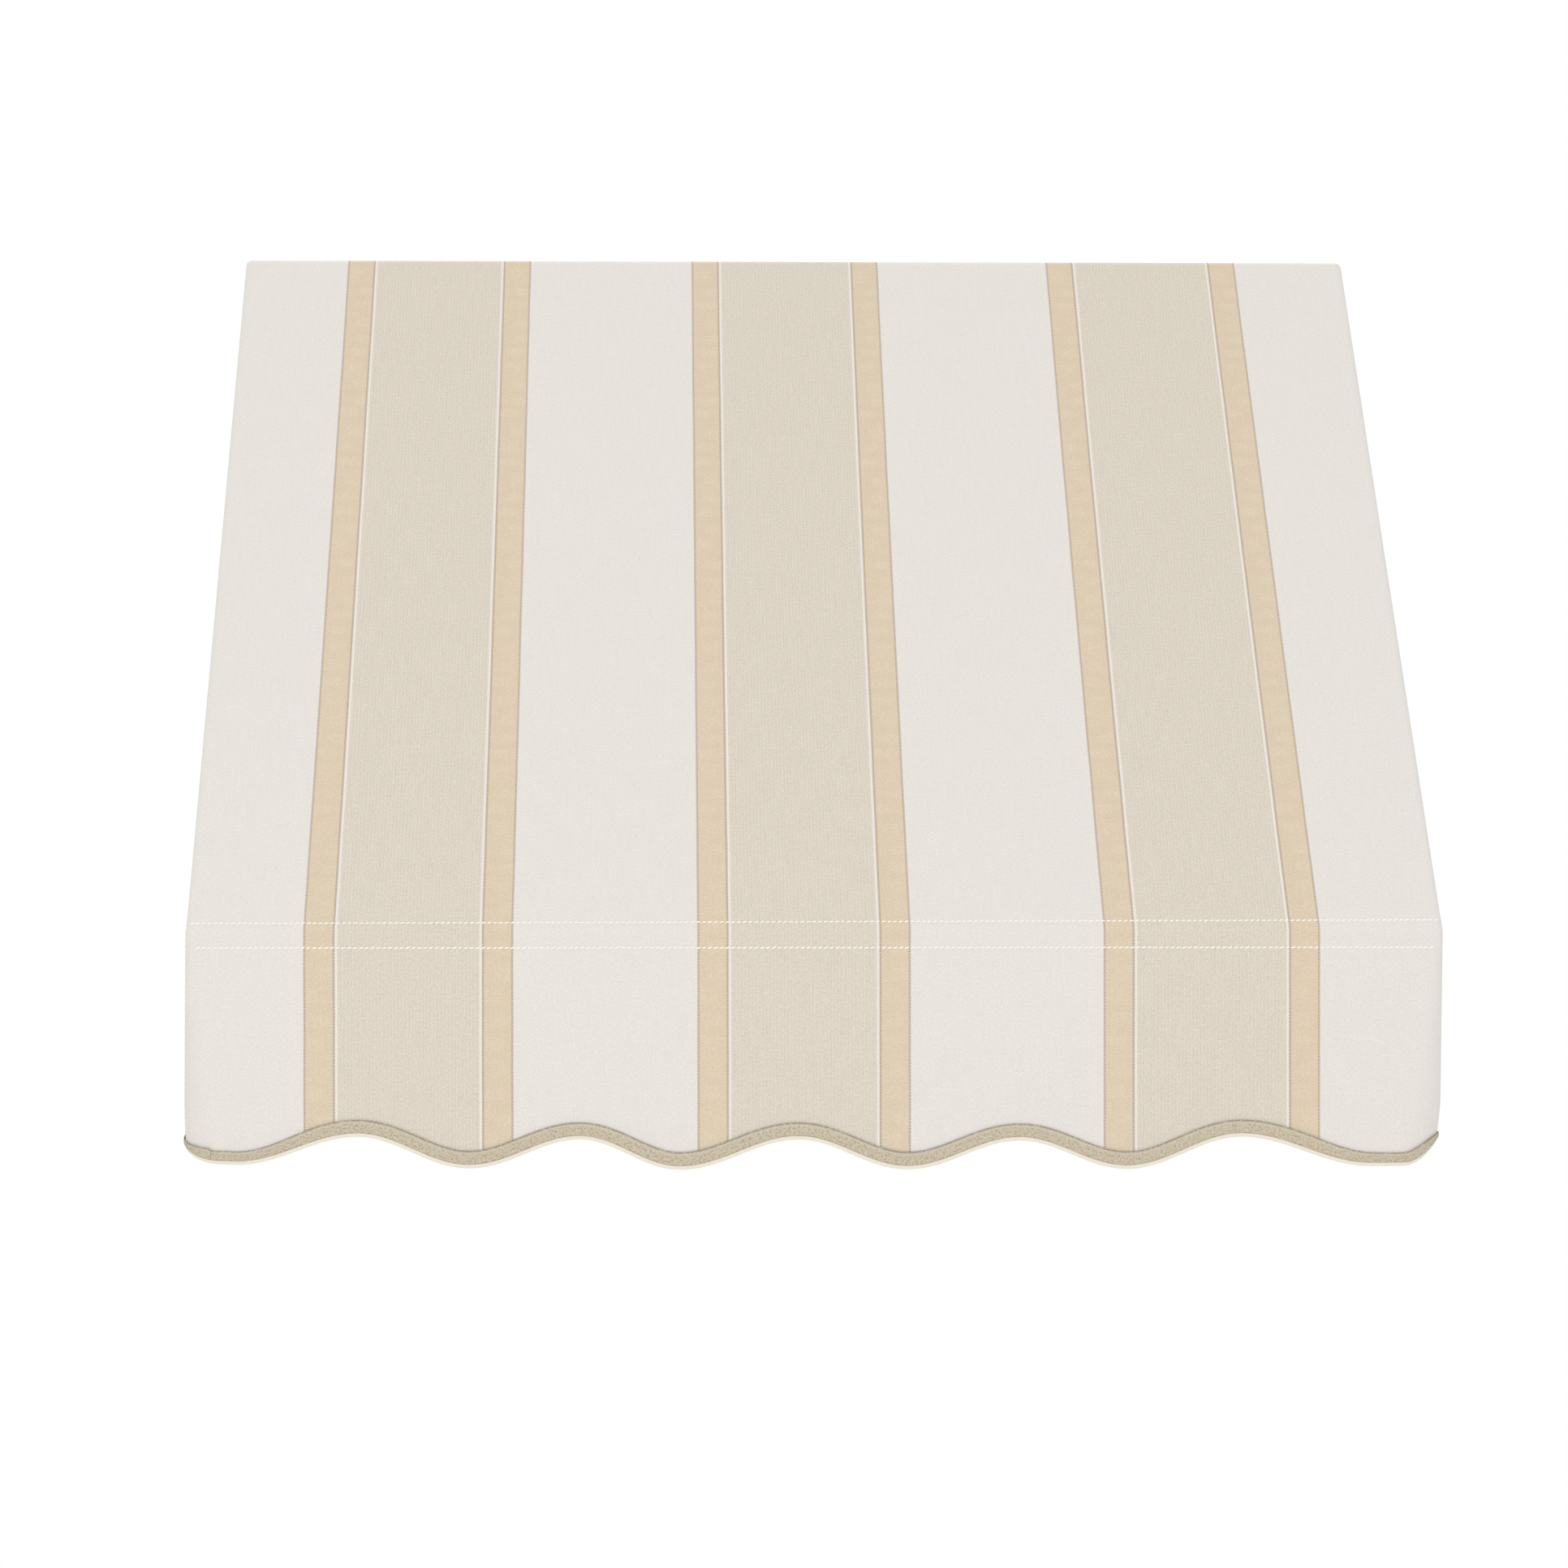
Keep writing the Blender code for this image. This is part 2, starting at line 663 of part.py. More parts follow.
def bracket_outline():
    """A plate against the wall and a hook that the head bar lies in, in (y, z)."""
    inner = TUBE_RADIUS + CLEARANCE
    outer = inner + BRACKET_HOOK
    root = -math.acos((BAR_STANDOFF - BRACKET_PLATE) / outer)
    outline = [(0.0, -BRACKET_FALL), (0.0, BRACKET_RISE), (-BRACKET_PLATE, BRACKET_RISE)]
    outline.append((-BRACKET_PLATE, inner * math.sin(HOOK_TOP)))
    outline += arc(BACK_Y, inner, HOOK_TOP, HOOK_END, HOOK_STEPS)
    outline += arc(BACK_Y, outer, HOOK_END, root, HOOK_STEPS)
    outline.append((-BRACKET_PLATE, -BRACKET_FALL))
    return outline


def extruded_outline(outline, thickness):
    """A flat outline with thickness, as one welded mesh."""
    curve = bpy.data.curves.new("outline", "CURVE")
    curve.dimensions = "2D"
    curve.fill_mode = "BOTH"
    curve.extrude = thickness / 2
    spline = curve.splines.new("POLY")
    spline.points.add(len(outline) - 1)
    for point, (along, up) in zip(spline.points, outline):
        point.co = (along, up, 0.0, 1.0)
    spline.use_cyclic_u = True
    drawn = bpy.data.objects.new("outline", curve)
    bpy.context.scene.collection.objects.link(drawn)
    bpy.context.view_layer.update()
    solid = bpy.data.meshes.new_from_object(drawn.evaluated_get(bpy.context.evaluated_depsgraph_get()))
    bpy.data.objects.remove(drawn)
    shape = bmesh.new()
    shape.from_mesh(solid)
    bmesh.ops.remove_doubles(shape, verts=shape.verts, dist=0.00001)
    bmesh.ops.recalc_face_normals(shape, faces=shape.faces)
    shape.to_mesh(solid)
    shape.free()
    return solid


def make_bracket(awning, name, place):
    """A length of extruded profile, drilled for two wall screws."""
    mesh = extruded_outline(bracket_outline(), BRACKET_WIDTH)
    smooth(mesh)
    # The outline's (x, y) lie along the world's (Y, Z) and its thickness along X.
    turn = Matrix(((0, 0, 1), (1, 0, 0), (0, 1, 0))).to_4x4()
    made = awning.part(name, mesh, (awning.casting,), Matrix.Translation((place, 0, 0)) @ turn)
    for number, drop in enumerate(BRACKET_HOLE_DROPS):
        hole = round_bar(WALL_HOLE_RADIUS, 4 * BRACKET_PLATE, FITTING_SIDES)
        tool = awning.cutter(f"{name}_hole_{number}", hole, frame_matrix((place, 0.0, -drop), (0, 1, 0)))
        combine(made, tool, "DIFFERENCE")
    return made


def frame_bars():
    """Each bar: name, its two fittings, the names of its ends and the side its screws go in from."""
    under = Vector((0, -math.sin(DOWN_SLOPE), math.cos(DOWN_SLOPE)))
    bars = [
        ("head_bar", "left_head_corner", "right_head_corner", ("left", "right"), Vector((0, 0, -1))),
        ("front_bar", "left_front_corner", "right_front_corner", ("left", "right"), Vector((0, 1, 0))),
    ]
    for name, side in (("left", -1), ("right", 1)):
        head, front, foot = (f"{name}_{place}" for place in ("head_corner", "front_corner", "wall_foot"))
        inside = Vector((-side, 0, 0))
        bars.append((f"{name}_rafter", head, front, ("top", "bottom"), under))
        bars.append((f"{name}_side_bar", front, foot, ("front", "back"), inside))
        bars.append((f"{name}_wall_bar", head, foot, ("top", "bottom"), inside))
    return bars


def make_frame(awning):
    """Fittings, tubes and the screws that hold each tube on its spigots."""
    centres = {}
    for name, side in (("left", -1), ("right", 1)):
        centres[f"{name}_head_corner"] = Vector((side * SIDE_X, BACK_Y, 0.0))
        centres[f"{name}_front_corner"] = Vector((side * SIDE_X, FRONT_Y, -DROP))
        centres[f"{name}_wall_foot"] = Vector((side * SIDE_X, BACK_Y, -DROP))
    arms = {name: [] for name in centres}
    for _, first, last, _, _ in frame_bars():
        arms[first].append((centres[last] - centres[first]).normalized())
        arms[last].append((centres[first] - centres[last]).normalized())
    fittings = {name: make_fitting(awning, name, centres[name], arms[name]) for name in centres}
    for name in ("left_wall_foot", "right_wall_foot"):
        add_wall_plate(awning, fittings[name], centres[name])
    shank = CLEARANCE + TUBE_WALL + CLEARANCE + SCREW_BITE
    tubes = {}
    for name, first, last, ends, screw_side in frame_bars():
        tubes[name] = make_tube(awning, name, centres[first], centres[last])
        for fitting, other, end in ((first, last, ends[0]), (last, first, ends[1])):
            along = (centres[other] - centres[fitting]).normalized()
            seat = centres[fitting] + along * (FITTING_REACH + SCREW_SETBACK)
            seat = seat + screw_side * (TUBE_RADIUS + CLEARANCE)
            hole = make_screw(awning, f"{name}_{end}_screw", seat, screw_side, shank)
            combine(tubes[name], hole, "DIFFERENCE")
            combine(fittings[fitting], hole, "DIFFERENCE")
    return tubes


def make_head_brackets(awning, head_bar):
    """Three brackets, each with a screw up through its hook into the head bar."""
    down = Vector((0, 0, -1))
    reach = TUBE_RADIUS + CLEARANCE + BRACKET_HOOK + CLEARANCE
    shank = CLEARANCE + BRACKET_HOOK + CLEARANCE + TUBE_WALL + SCREW_SHANK_RADIUS
    for side, place in BRACKET_PLACES.items():
        bracket = make_bracket(awning, f"{side}_head_bracket", place)
        seat = Vector((place, BACK_Y, 0.0)) + down * reach
        hole = make_screw(awning, f"{side}_bracket_screw", seat, down, shank)
        combine(bracket, hole, "DIFFERENCE")
        combine(head_bar, hole, "DIFFERENCE")


def main():
    for made in list(bpy.data.objects):
        bpy.data.objects.remove(made)
    awning = Awning()
    tubes = make_frame(awning)
    make_head_brackets(awning, tubes["head_bar"])
    make_canopy(awning)
    for name, side in (("left", -1), ("right", 1)):
        make_wing(awning, name, side)
        make_side_pocket(awning, name, side)
    make_front_pocket(awning)
    make_braid(awning)
    bpy.context.view_layer.update()


main()
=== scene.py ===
import math

import bmesh
import bpy
import numpy as np
from mathutils import Matrix, Vector


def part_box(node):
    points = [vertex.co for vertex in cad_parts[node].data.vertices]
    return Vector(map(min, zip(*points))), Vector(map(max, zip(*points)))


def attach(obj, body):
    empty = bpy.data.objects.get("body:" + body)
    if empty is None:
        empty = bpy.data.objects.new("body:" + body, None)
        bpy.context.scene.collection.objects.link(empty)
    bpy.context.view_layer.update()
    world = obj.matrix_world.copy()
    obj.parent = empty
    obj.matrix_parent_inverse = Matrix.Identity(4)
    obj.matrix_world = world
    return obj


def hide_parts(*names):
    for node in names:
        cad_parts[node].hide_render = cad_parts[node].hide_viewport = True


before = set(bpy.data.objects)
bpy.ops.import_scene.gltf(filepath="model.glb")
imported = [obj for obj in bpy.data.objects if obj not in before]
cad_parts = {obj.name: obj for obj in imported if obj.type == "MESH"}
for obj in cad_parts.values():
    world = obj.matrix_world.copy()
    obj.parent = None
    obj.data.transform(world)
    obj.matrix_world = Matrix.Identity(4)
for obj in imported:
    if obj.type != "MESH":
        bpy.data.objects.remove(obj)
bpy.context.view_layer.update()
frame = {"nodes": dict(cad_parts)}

# The cover's lengths, in metres, as on the frame
COVER_HALF = 0.60905
PROJECTION = 0.610
DROP = 0.711
HEM_DEPTH = 0.2105
SCALLOP_HEIGHT = 0.028
SCALLOP_PERIOD = 0.2140
SHEET_RADIUS = 0.01345
SIDE_X = 0.5956
BACK_Y = -0.020
FRONT_Y = -0.5961
EDGE_RADIUS = 0.00455
HEM_CORNER_RADIUS = 0.03955
SLEEVE_SETBACK = 0.077
SLEEVE_FOOT = SLEEVE_SETBACK - DROP
SLEEVE_FLANGE = 0.012
SLEEVE_CREASE = 0.0015
SLEEVE_HALF = SIDE_X - SLEEVE_SETBACK
HEAD_COVER = math.radians(120)
BRACKET_INSET = 0.058
BRACKET_PLACES = (BRACKET_INSET - SLEEVE_HALF, 0.0, SLEEVE_HALF - BRACKET_INSET)
BRACKET_NOTCH = 0.018
GOLD_WIDTH = 0.0285
GOLD_CENTRES = (-0.4817, -0.3095, -0.1012, 0.0755, 0.2935, 0.4745)
WING_GOLD_CENTRES = (0.211, 0.388)

# Lengths of the fine model only
THIN = 0.0005
LAP = 0.0006
SIDE_FLAP = 0.012
SLEEVE_GAP = 0.0001
HANGING_RUN = 0.30
SEAM_INSET = 0.0075
SEAM_STITCH_INSET = 0.0035
POCKET_RADIUS = SHEET_RADIUS - 0.0002
STITCH_PITCH = 0.00562
STITCH_LENGTH = 0.0043
STITCH_WIDTH = 0.0018
STITCH_SLANT = math.radians(16)
ROW_HALF = 0.606
ROW_REACHES = (0.607, 0.604)
HOLES_REACH = 0.600
UPPER_ROW_RISE = 0.0041
LOWER_ROW_DROP = 0.0131
UPPER_ROW_TILT = -0.0008
LOWER_ROW_TILT = 0.0020

# The valance's spread and the tape's tuck at each side, and the cloth's sag and waves
VALANCE_FLARE = 0.0006
LEFT_HEM_FLARE = 0.0054
HEM_FLARE = 0.0034
HEM_TUCK = 0.0034
LEFT_HEM_TUCK = 0.0014
TUCK_DEPTHS = (0.162, 0.208)
CANOPY_SAG = 0.0040
CANOPY_WAVE = 0.0006
VALANCE_WAVE = 0.0016
WAVE_DEPTHS = (0.02, 0.14)
WING_SAG = 0.0022
WING_WAVE = 0.0005
WING_HEM_WAVE = 0.0012
NOISE_WAVES = 9

# The braid and the binding; the pairs say between which places across a change comes in
BRAID_HEIGHT = 0.0130
BRAID_THICK = 0.0009
BRAID_SPREAD = 0.02
BRAID_NARROWING = 0.30
NARROW_STARTS = (0.46, 0.56)
NARROW_ENDS = (0.655, 0.720)
CORNER_PINCH = 0.58
PINCH_STARTS = (0.585, 0.632)
BINDING_OFF = 0.00045
LIP_HEIGHT = 0.0034
FOLD_RADIUS = 0.0012
LEFT_LAP = -0.5865
RIGHT_LAP = 0.574
LEFT_LAP_RISE = 0.15
LAP_ROUNDING = 0.0035

# Steps and rounds of the meshes
LEAST_STEP = 0.0001
MIDDLE_STEP = 0.0072
CORNER_ZONE = 0.052
BAR_ZONE = 0.026
SEAM_STEP = 0.0016
HEM_STEP = 0.0005
ROW_STEP = 0.0004
BEND_STEP = math.radians(6)
WING_LEVEL_END = -DROP - 0.030
WING_STEP = 0.012
CANOPY_LOWER_ROWS = 35
WING_LOWER_ROWS = 25
CANOPY_ROUNDS = 5
WING_ROUNDS = 6
BAKE_MARGIN = 0.004

# The screws, which have a pan head
HEAD = 0.0041
SHANK = 0.0021
SHANK_LENGTH = 0.0090
CROWN = 0.0026
RECESS = (0.0046, 0.0009, 0.0024)
SCREW_SIDES = 40

# The weave and print of the cloths, and the marks on the metals
WEAVE_PITCH = 0.0006
WEAVE_RELIEF = 0.00012
CLOTH_ROUGH = (0.12, 0.86)
CLOTH_SPECULAR = 0.15
GRAIN_SCALE = 620.0
CLOUD_SCALE = 26.0
SLUB_SCALE = 420.0
RIB_PITCH = 0.00346
BAND_PITCH = 0.0182
WANDER_SCALE = 14.0
STRIPE_WANDER = 0.0006
LINE_START = 0.0007
LINE_END = 0.0018
LINE_EXTRA = 0.0016
DASH_PITCH = 0.00181
HATCH_PERIOD = 0.0236
HATCH_WEFT = 0.0022
HATCH_WARP = 0.0026
HATCH_STRENGTH = (0.08, 0.40)
PATCH_LEVELS = (0.38, 0.62)
PATCH_SHIFT = 0.006
PATCH_OFFSET = 0.002
PATCH_EDGE = (0.006, 0.010)
WORN_SCALE = 240.0
HOLE_RADII = (0.0004, 0.0013)
BRAID_WEAVE = 0.0026
CORD_PITCH = 0.0016
STAIN_SCALE = 35.0

# Where the hand-cut hem turns, as (place across, depth below the front bar), left to right
HEM_TURNS = (
    (-0.8570, 0.1965), (-0.7530, 0.2240), (-0.6500, 0.2000), (-0.5760, 0.2171),
    (-0.5610, 0.2177), (-0.4455, 0.1911), (-0.3370, 0.2220), (-0.2310, 0.1945),
    (-0.1330, 0.2243), (-0.0190, 0.1955), (0.0875, 0.2248), (0.1960, 0.1972),
    (0.3015, 0.2254), (0.4125, 0.1945), (0.5400, 0.2237), (0.5690, 0.2236),
    (0.6250, 0.2010), (0.7300, 0.2240), (0.8370, 0.1965),
)

DOWN_SLOPE = math.pi + math.atan2(DROP, BACK_Y - FRONT_Y)
RAFTER_LENGTH = math.hypot(DROP, BACK_Y - FRONT_Y)
FLANGE_LEVEL = SHEET_RADIUS - THIN - SLEEVE_GAP


def travel(points):
    """How far along a line of points each of them lies."""
    steps = np.linalg.norm(np.diff(np.array(points), axis=0), axis=1)
    return np.concatenate([[0.0], np.cumsum(steps)])


class Line:
    """A sheet's middle line in section, as many short steps, with the outward direction at each."""

    def __init__(self, start, heading):
        self.points = [np.array(start, float)]
        self.headings = [heading]
        self.heading = heading
        self.corners = [0.0]
        self.travelled = 0.0

    def step(self, length):
        direction = np.array((math.cos(self.heading), math.sin(self.heading)))
        self.points.append(self.points[-1] + direction * length)
        self.headings.append(self.heading)
        self.travelled += length

    def run(self, length):
        self.step(length)
        self.corners.append(self.travelled)

    def bend(self, angle, radius):
        count = max(2, round(abs(angle) / BEND_STEP))
        turn = angle / count
        for _ in range(count):
            self.heading += turn / 2
            self.step(2 * radius * math.sin(abs(turn) / 2))
            self.heading += turn / 2
            self.headings[-1] = self.heading
            self.corners.append(self.travelled)

    def settle(self):
        self.distance = travel(self.points)
        self.place = np.array(self.points)
        self.turn = np.array(self.headings)

    def at(self, distance):
        """Place and outward direction at distances along the line; the ends go on straight."""
        first = np.interp(distance, self.distance, self.place[:, 0])
        second = np.interp(distance, self.distance, self.place[:, 1])
        heading = np.interp(distance, self.distance, self.turn)
        beyond = np.maximum(distance - self.distance[-1], 0.0)
        first = first + beyond * np.cos(heading)
        second = second + beyond * np.sin(heading)
        return first, second, np.sin(heading), -np.cos(heading)


def sleeve_line(centre, heading):
    """A line that starts with a sleeve's flange and crease and runs round the bar at the centre."""
    along = np.array((math.cos(heading), math.sin(heading)))
    outward = np.array((along[1], -along[0]))
    reach = SHEET_RADIUS + SLEEVE_CREASE + SLEEVE_FLANGE
    line = Line(np.array(centre) + along * reach + outward * FLANGE_LEVEL, heading + math.pi)
    line.run(SLEEVE_FLANGE)
    line.bend(-math.pi / 2, SLEEVE_CREASE)
    line.run(FLANGE_LEVEL - SLEEVE_CREASE)
    line.bend(3 * math.pi / 2, SHEET_RADIUS)
    return line


CANOPY = sleeve_line((BACK_Y, 0.0), DOWN_SLOPE)
SLOPE_START = CANOPY.travelled
CANOPY.run(RAFTER_LENGTH)
SLOPE_END = CANOPY.travelled
CANOPY.bend(3 * math.pi / 2 - DOWN_SLOPE, SHEET_RADIUS)
BAR_LEVEL = CANOPY.travelled
CANOPY.run(HANGING_RUN)
CANOPY.settle()
WRAP_END = SLOPE_START - SHEET_RADIUS * HEAD_COVER
UPPER_ROW = SLOPE_END - UPPER_ROW_RISE
LOWER_ROW = BAR_LEVEL + LOWER_ROW_DROP
STITCH_ROWS = ((UPPER_ROW, UPPER_ROW_TILT), (LOWER_ROW, LOWER_ROW_TILT))

WING = sleeve_line((BACK_Y, SIDE_X), math.pi)
WING_START = WING.travelled
WING.run(PROJECTION)
WING.settle()


def blend(value, low, high):
    """0 below low, 1 above high, and a smooth change between them."""
    share = np.clip((value - low) / (high - low), 0.0, 1.0)
    return share * share * (3 - 2 * share)


def corner_radius(along):
    """Radius of the turn round a front corner, which widens towards the hem."""
    share = np.clip((along - BAR_LEVEL) / HEM_DEPTH, 0.0, None)
    return EDGE_RADIUS + (HEM_CORNER_RADIUS - EDGE_RADIUS) * share


def flare(along, side=1):
    """How much the valance spreads at each side: more towards the hem, which the tape draws in again."""
    depth = along - BAR_LEVEL
    share = np.clip(depth / HEM_DEPTH, 0.0, 1.2)
    left = np.asarray(side) < 0
    lean = np.where(left, LEFT_HEM_FLARE, HEM_FLARE)
    tuck = np.where(left, LEFT_HEM_TUCK, HEM_TUCK) * blend(depth, *TUCK_DEPTHS)
    return VALANCE_FLARE * blend(along, SLOPE_END - 0.020, BAR_LEVEL + 0.014) + lean * share - tuck


def side_edge(along):
    """Distance across the cloth to the canopy's own edge, on the awning's side."""
    radius = corner_radius(along)
    return COVER_HALF + flare(along) - radius + radius * math.pi / 2 + SIDE_FLAP - EDGE_RADIUS


def cover_place(across, along, out=0.0):
    """Where points of the flat canopy lie on the frame; out is a distance off the cloth's middle."""
    y, z, ny, nz = CANOPY.at(along)
    radius = corner_radius(along)
    flat = COVER_HALF + flare(along, np.sign(across)) - radius
    size = np.abs(across)
    past = np.maximum(size - flat, 0.0)
    angle = np.minimum(past / radius, math.pi / 2)
    wide = np.minimum(size, flat) + (radius + out) * np.sin(angle)
    inward = radius - (radius + out) * np.cos(angle) + np.maximum(past - radius * math.pi / 2, 0.0)
    return np.stack([np.sign(across) * wide, y - ny * inward, z - nz * inward], axis=-1)


def hem_depth(across):
    """Depth of the scalloped hem below the front bar's level; round the sides the scallops are even."""
    across = np.asarray(across, float)
    places, depths = (np.array(values) for values in zip(*HEM_TURNS))
    after = np.clip(np.searchsorted(places, across), 1, len(places) - 1)
    share = np.clip((across - places[after - 1]) / (places[after] - places[after - 1]), 0.0, 1.0)
    turned = (1 - np.cos(math.pi * share)) / 2
    cut = depths[after - 1] + (depths[after] - depths[after - 1]) * turned
    past = np.maximum(places[0] - across, across - places[-1])
    even_cut = HEM_DEPTH - SCALLOP_HEIGHT / 2 * np.cos(2 * math.pi * past / SCALLOP_PERIOD)
    return np.where(past > 0, even_cut, cut)


def hem_slope(across):
    return (hem_depth(across + HEM_STEP) - hem_depth(across - HEM_STEP)) / (2 * HEM_STEP)


def above_hem(across, height):
    """The flat place that lies at a height above the hem, square to the hem's line."""
    slope = hem_slope(across)
    long = np.sqrt(1 + slope * slope)
    return across + height * slope / long, BAR_LEVEL + hem_depth(across) - height / long


def even(start, end, spacing):
    """Evenly spaced places from start to end."""
    return np.linspace(start, end, max(2, round((end - start) / spacing) + 1))


def stations(*groups):
    """All places in order, without those that nearly repeat the one before."""
    merged = np.sort(np.concatenate([np.atleast_1d(np.asarray(group, float)) for group in groups]))
    return merged[np.concatenate([[True], np.diff(merged) > LEAST_STEP])]


def cloth_noise(first, second, seed, longest=0.30, shortest=0.05):
    """A smooth uneven field from a few seeded waves, between about -1 and 1."""
    rng = np.random.default_rng(seed)
    total = np.zeros(np.broadcast(first, second).shape)
    for _ in range(NOISE_WAVES):
        length = longest * (shortest / longest) ** rng.random()
        angle = rng.random() * math.pi
        phase = rng.random() * 2 * math.pi
        reach = first * math.cos(angle) + second * math.sin(angle)
        total = total + np.cos(2 * math.pi * reach / length + phase) * (length / longest) ** 0.5
    return total / math.sqrt(NOISE_WAVES)


def add_object(name, data):
    made = bpy.data.objects.new(name, data)
    bpy.context.scene.collection.objects.link(made)
    return made


def add_mesh(name, points, faces, material):
    mesh = bpy.data.meshes.new(name)
    mesh.from_pydata(points, [], faces)
    mesh.materials.append(material)
    mesh.shade_smooth()
    return add_object(name, mesh)


def grid_piece(name, places, first, second, material, thickness=THIN, keep=None):
    """A sheet from a grid of places; first and second are the cloth's own coordinates, keep its cells."""
    rows, columns = places.shape[:2]
    index = np.arange(rows * columns).reshape(rows, columns)
    cells = np.stack([index[:-1, :-1], index[:-1, 1:], index[1:, 1:], index[1:, :-1]], axis=-1)
    if keep is not None:
        cells = cells[keep]
    used, renumbered = np.unique(cells.ravel(), return_inverse=True)
    faces = renumbered.reshape(-1, 4)
    made = add_mesh(name, places.reshape(-1, 3)[used].tolist(), faces.tolist(), material)
    flat = np.stack(np.broadcast_arrays(first, second), axis=-1)
    own = flat.reshape(-1, 2)[used][faces.ravel()]
    low, high = own.min(axis=0), own.max(axis=0)
    bake = BAKE_MARGIN + (1 - 2 * BAKE_MARGIN) * (own - low) / (high - low).max()
    for layer, values in (("cloth", own), ("OFBake", bake)):
        made.data.uv_layers.new(name=layer).uv.foreach_set("vector", values.astype(np.float32).ravel())
    shell = made.modifiers.new("thickness", "SOLIDIFY")
    shell.thickness = thickness
    shell.offset = 0.0
    return made


class Nodes:
    """Short ways to make the nodes of one tree."""

    def __init__(self, tree):
        self.tree = tree

    def put(self, socket, value):
        if isinstance(value, bpy.types.NodeSocket):
            self.tree.links.new(value, socket)
        else:
            socket.default_value = value

    def add(self, kind, *values, **settings):
        """A new node with its settings, and its sockets fed in order."""
        node = self.tree.nodes.new("ShaderNode" + kind)
        for setting, value in settings.items():
            setattr(node, setting, value)
        for socket, value in zip(node.inputs, values):
            self.put(socket, value)
        return node

    def math(self, operation, *values, clamp=False):
        return self.add("Math", *values, operation=operation, use_clamp=clamp).outputs[0]

    def times(self, first, second):
        return self.math("MULTIPLY", first, second)

    def plus(self, first, second):
        return self.math("ADD", first, second)

    def minus(self, first, second):
        return self.math("SUBTRACT", first, second)

    def scaled(self, value, factor, start):
        """The value times a factor, on top of a start."""
        return self.math("MULTIPLY_ADD", value, factor, start)

    def apart(self, first, second):
        """How far two values lie apart."""
        return self.math("ABSOLUTE", self.minus(first, second))


class Shader(Nodes):
    """Short ways to make the nodes of one material."""

    def __init__(self, name):
        self.material = bpy.data.materials.new(name)
        self.material.use_nodes = True
        super().__init__(self.material.node_tree)
        self.principled = self.tree.nodes["Principled BSDF"]

    def vector(self, x, y):
        return self.add("CombineXYZ", x, y).outputs[0]

    def split(self, vector):
        return self.add("SeparateXYZ", vector).outputs

    def cloth_coordinates(self):
        place = self.add("UVMap", uv_map="cloth").outputs[0]
        across, along, _ = self.split(place)
        return across, along, place

    def object_coordinates(self):
        return self.add("TexCoord").outputs["Object"]

    def noise(self, vector, scale, detail=2.0, roughness=0.5):
        node = self.add("TexNoise", vector)
        node.inputs["Scale"].default_value = scale
        node.inputs["Detail"].default_value = detail
        node.inputs["Roughness"].default_value = roughness
        return node.outputs["Fac"]

    def uneven(self, vector, scale, detail=2.0, roughness=0.5):
        """Noise about nought."""
        return self.minus(self.noise(vector, scale, detail, roughness), 0.5)

    def range(self, value, low, high, out_low=0.0, out_high=1.0):
        return self.add("MapRange", value, low, high, out_low, out_high).outputs[0]

    def wave(self, value, period):
        """A sine of the given period, from -1 to 1."""
        return self.math("SINE", self.times(value, 2 * math.pi / period))

    def mix(self, share, first, second):
        node = self.add("Mix", data_type="RGBA")
        self.put(node.inputs["Factor"], share)
        self.put(node.inputs["A"], first)
        self.put(node.inputs["B"], second)
        return node.outputs["Result"]

    def brighten(self, given, factor):
        """The colour times a grey factor."""
        plain = given if isinstance(given, bpy.types.NodeSocket) else given[:3]
        node = self.add("VectorMath", plain, operation="SCALE")
        self.put(node.inputs["Scale"], factor)
        return node.outputs[0]

    def bump(self, height, distance, strength):
        node = self.add("Bump")
        node.inputs["Strength"].default_value = strength
        node.inputs["Distance"].default_value = distance
        self.put(node.inputs["Height"], height)
        self.tree.links.new(node.outputs[0], self.principled.inputs["Normal"])

    def base(self, given):
        self.put(self.principled.inputs["Base Color"], given)

    def finish(self, roughness, metallic=0.0, specular=0.5):
        self.put(self.principled.inputs["Roughness"], roughness)
        self.principled.inputs["Metallic"].default_value = metallic
        self.principled.inputs["Specular IOR Level"].default_value = specular
        return self.material


def colour(red, green, blue):
    """A colour given by its shown values, 0 to 255, as the renderer's linear ones."""
    shown = np.array((red, green, blue)) / 255
    linear = np.where(shown <= 0.04045, shown / 12.92, ((shown + 0.055) / 1.055) ** 2.4)
    return (*linear.tolist(), 1.0)


CREAM = colour(233, 228, 222)
LINEN = colour(222, 213, 198)
GOLD = colour(223, 206, 180)
GOLD_LIGHT = colour(235, 222, 202)
TAUPE = colour(168, 151, 134)
WHITE_LINE = colour(243, 237, 229)
THREAD = colour(255, 252, 244)
KHAKI = colour(211, 199, 175)
KHAKI_DARK = colour(160, 146, 122)
# Painted shade for the line along the braid's upper edge
KHAKI_EDGE_SHADE = colour(163, 154, 137)
KHAKI_PALE = colour(222, 213, 192)
LIP = colour(243, 236, 220)
# Painted shade in the needle holes
NEEDLE_HOLE_SHADE = colour(176, 160, 138)
SATIN = (0.62, 0.63, 0.64, 1.0)
CAST = (0.52, 0.53, 0.54, 1.0)
ZINC = (0.66, 0.66, 0.63, 1.0)
PALE = (0.9, 0.9, 0.9, 1.0)
WHITE = (1.0, 1.0, 1.0, 1.0)


def weave_relief(mat, across, along):
    """Height of a plain weave: warp and weft threads that pass over each other in turn."""
    return mat.times(mat.wave(across, 2 * WEAVE_PITCH), mat.wave(along, 2 * WEAVE_PITCH))


def marked(mat, given, *marks):
    """A colour made lighter and darker by marks, each given with its strength."""
    factor = 1.0
    for mark, strength in marks:
        factor = mat.scaled(mark, strength, factor)
    return mat.brighten(given, factor)


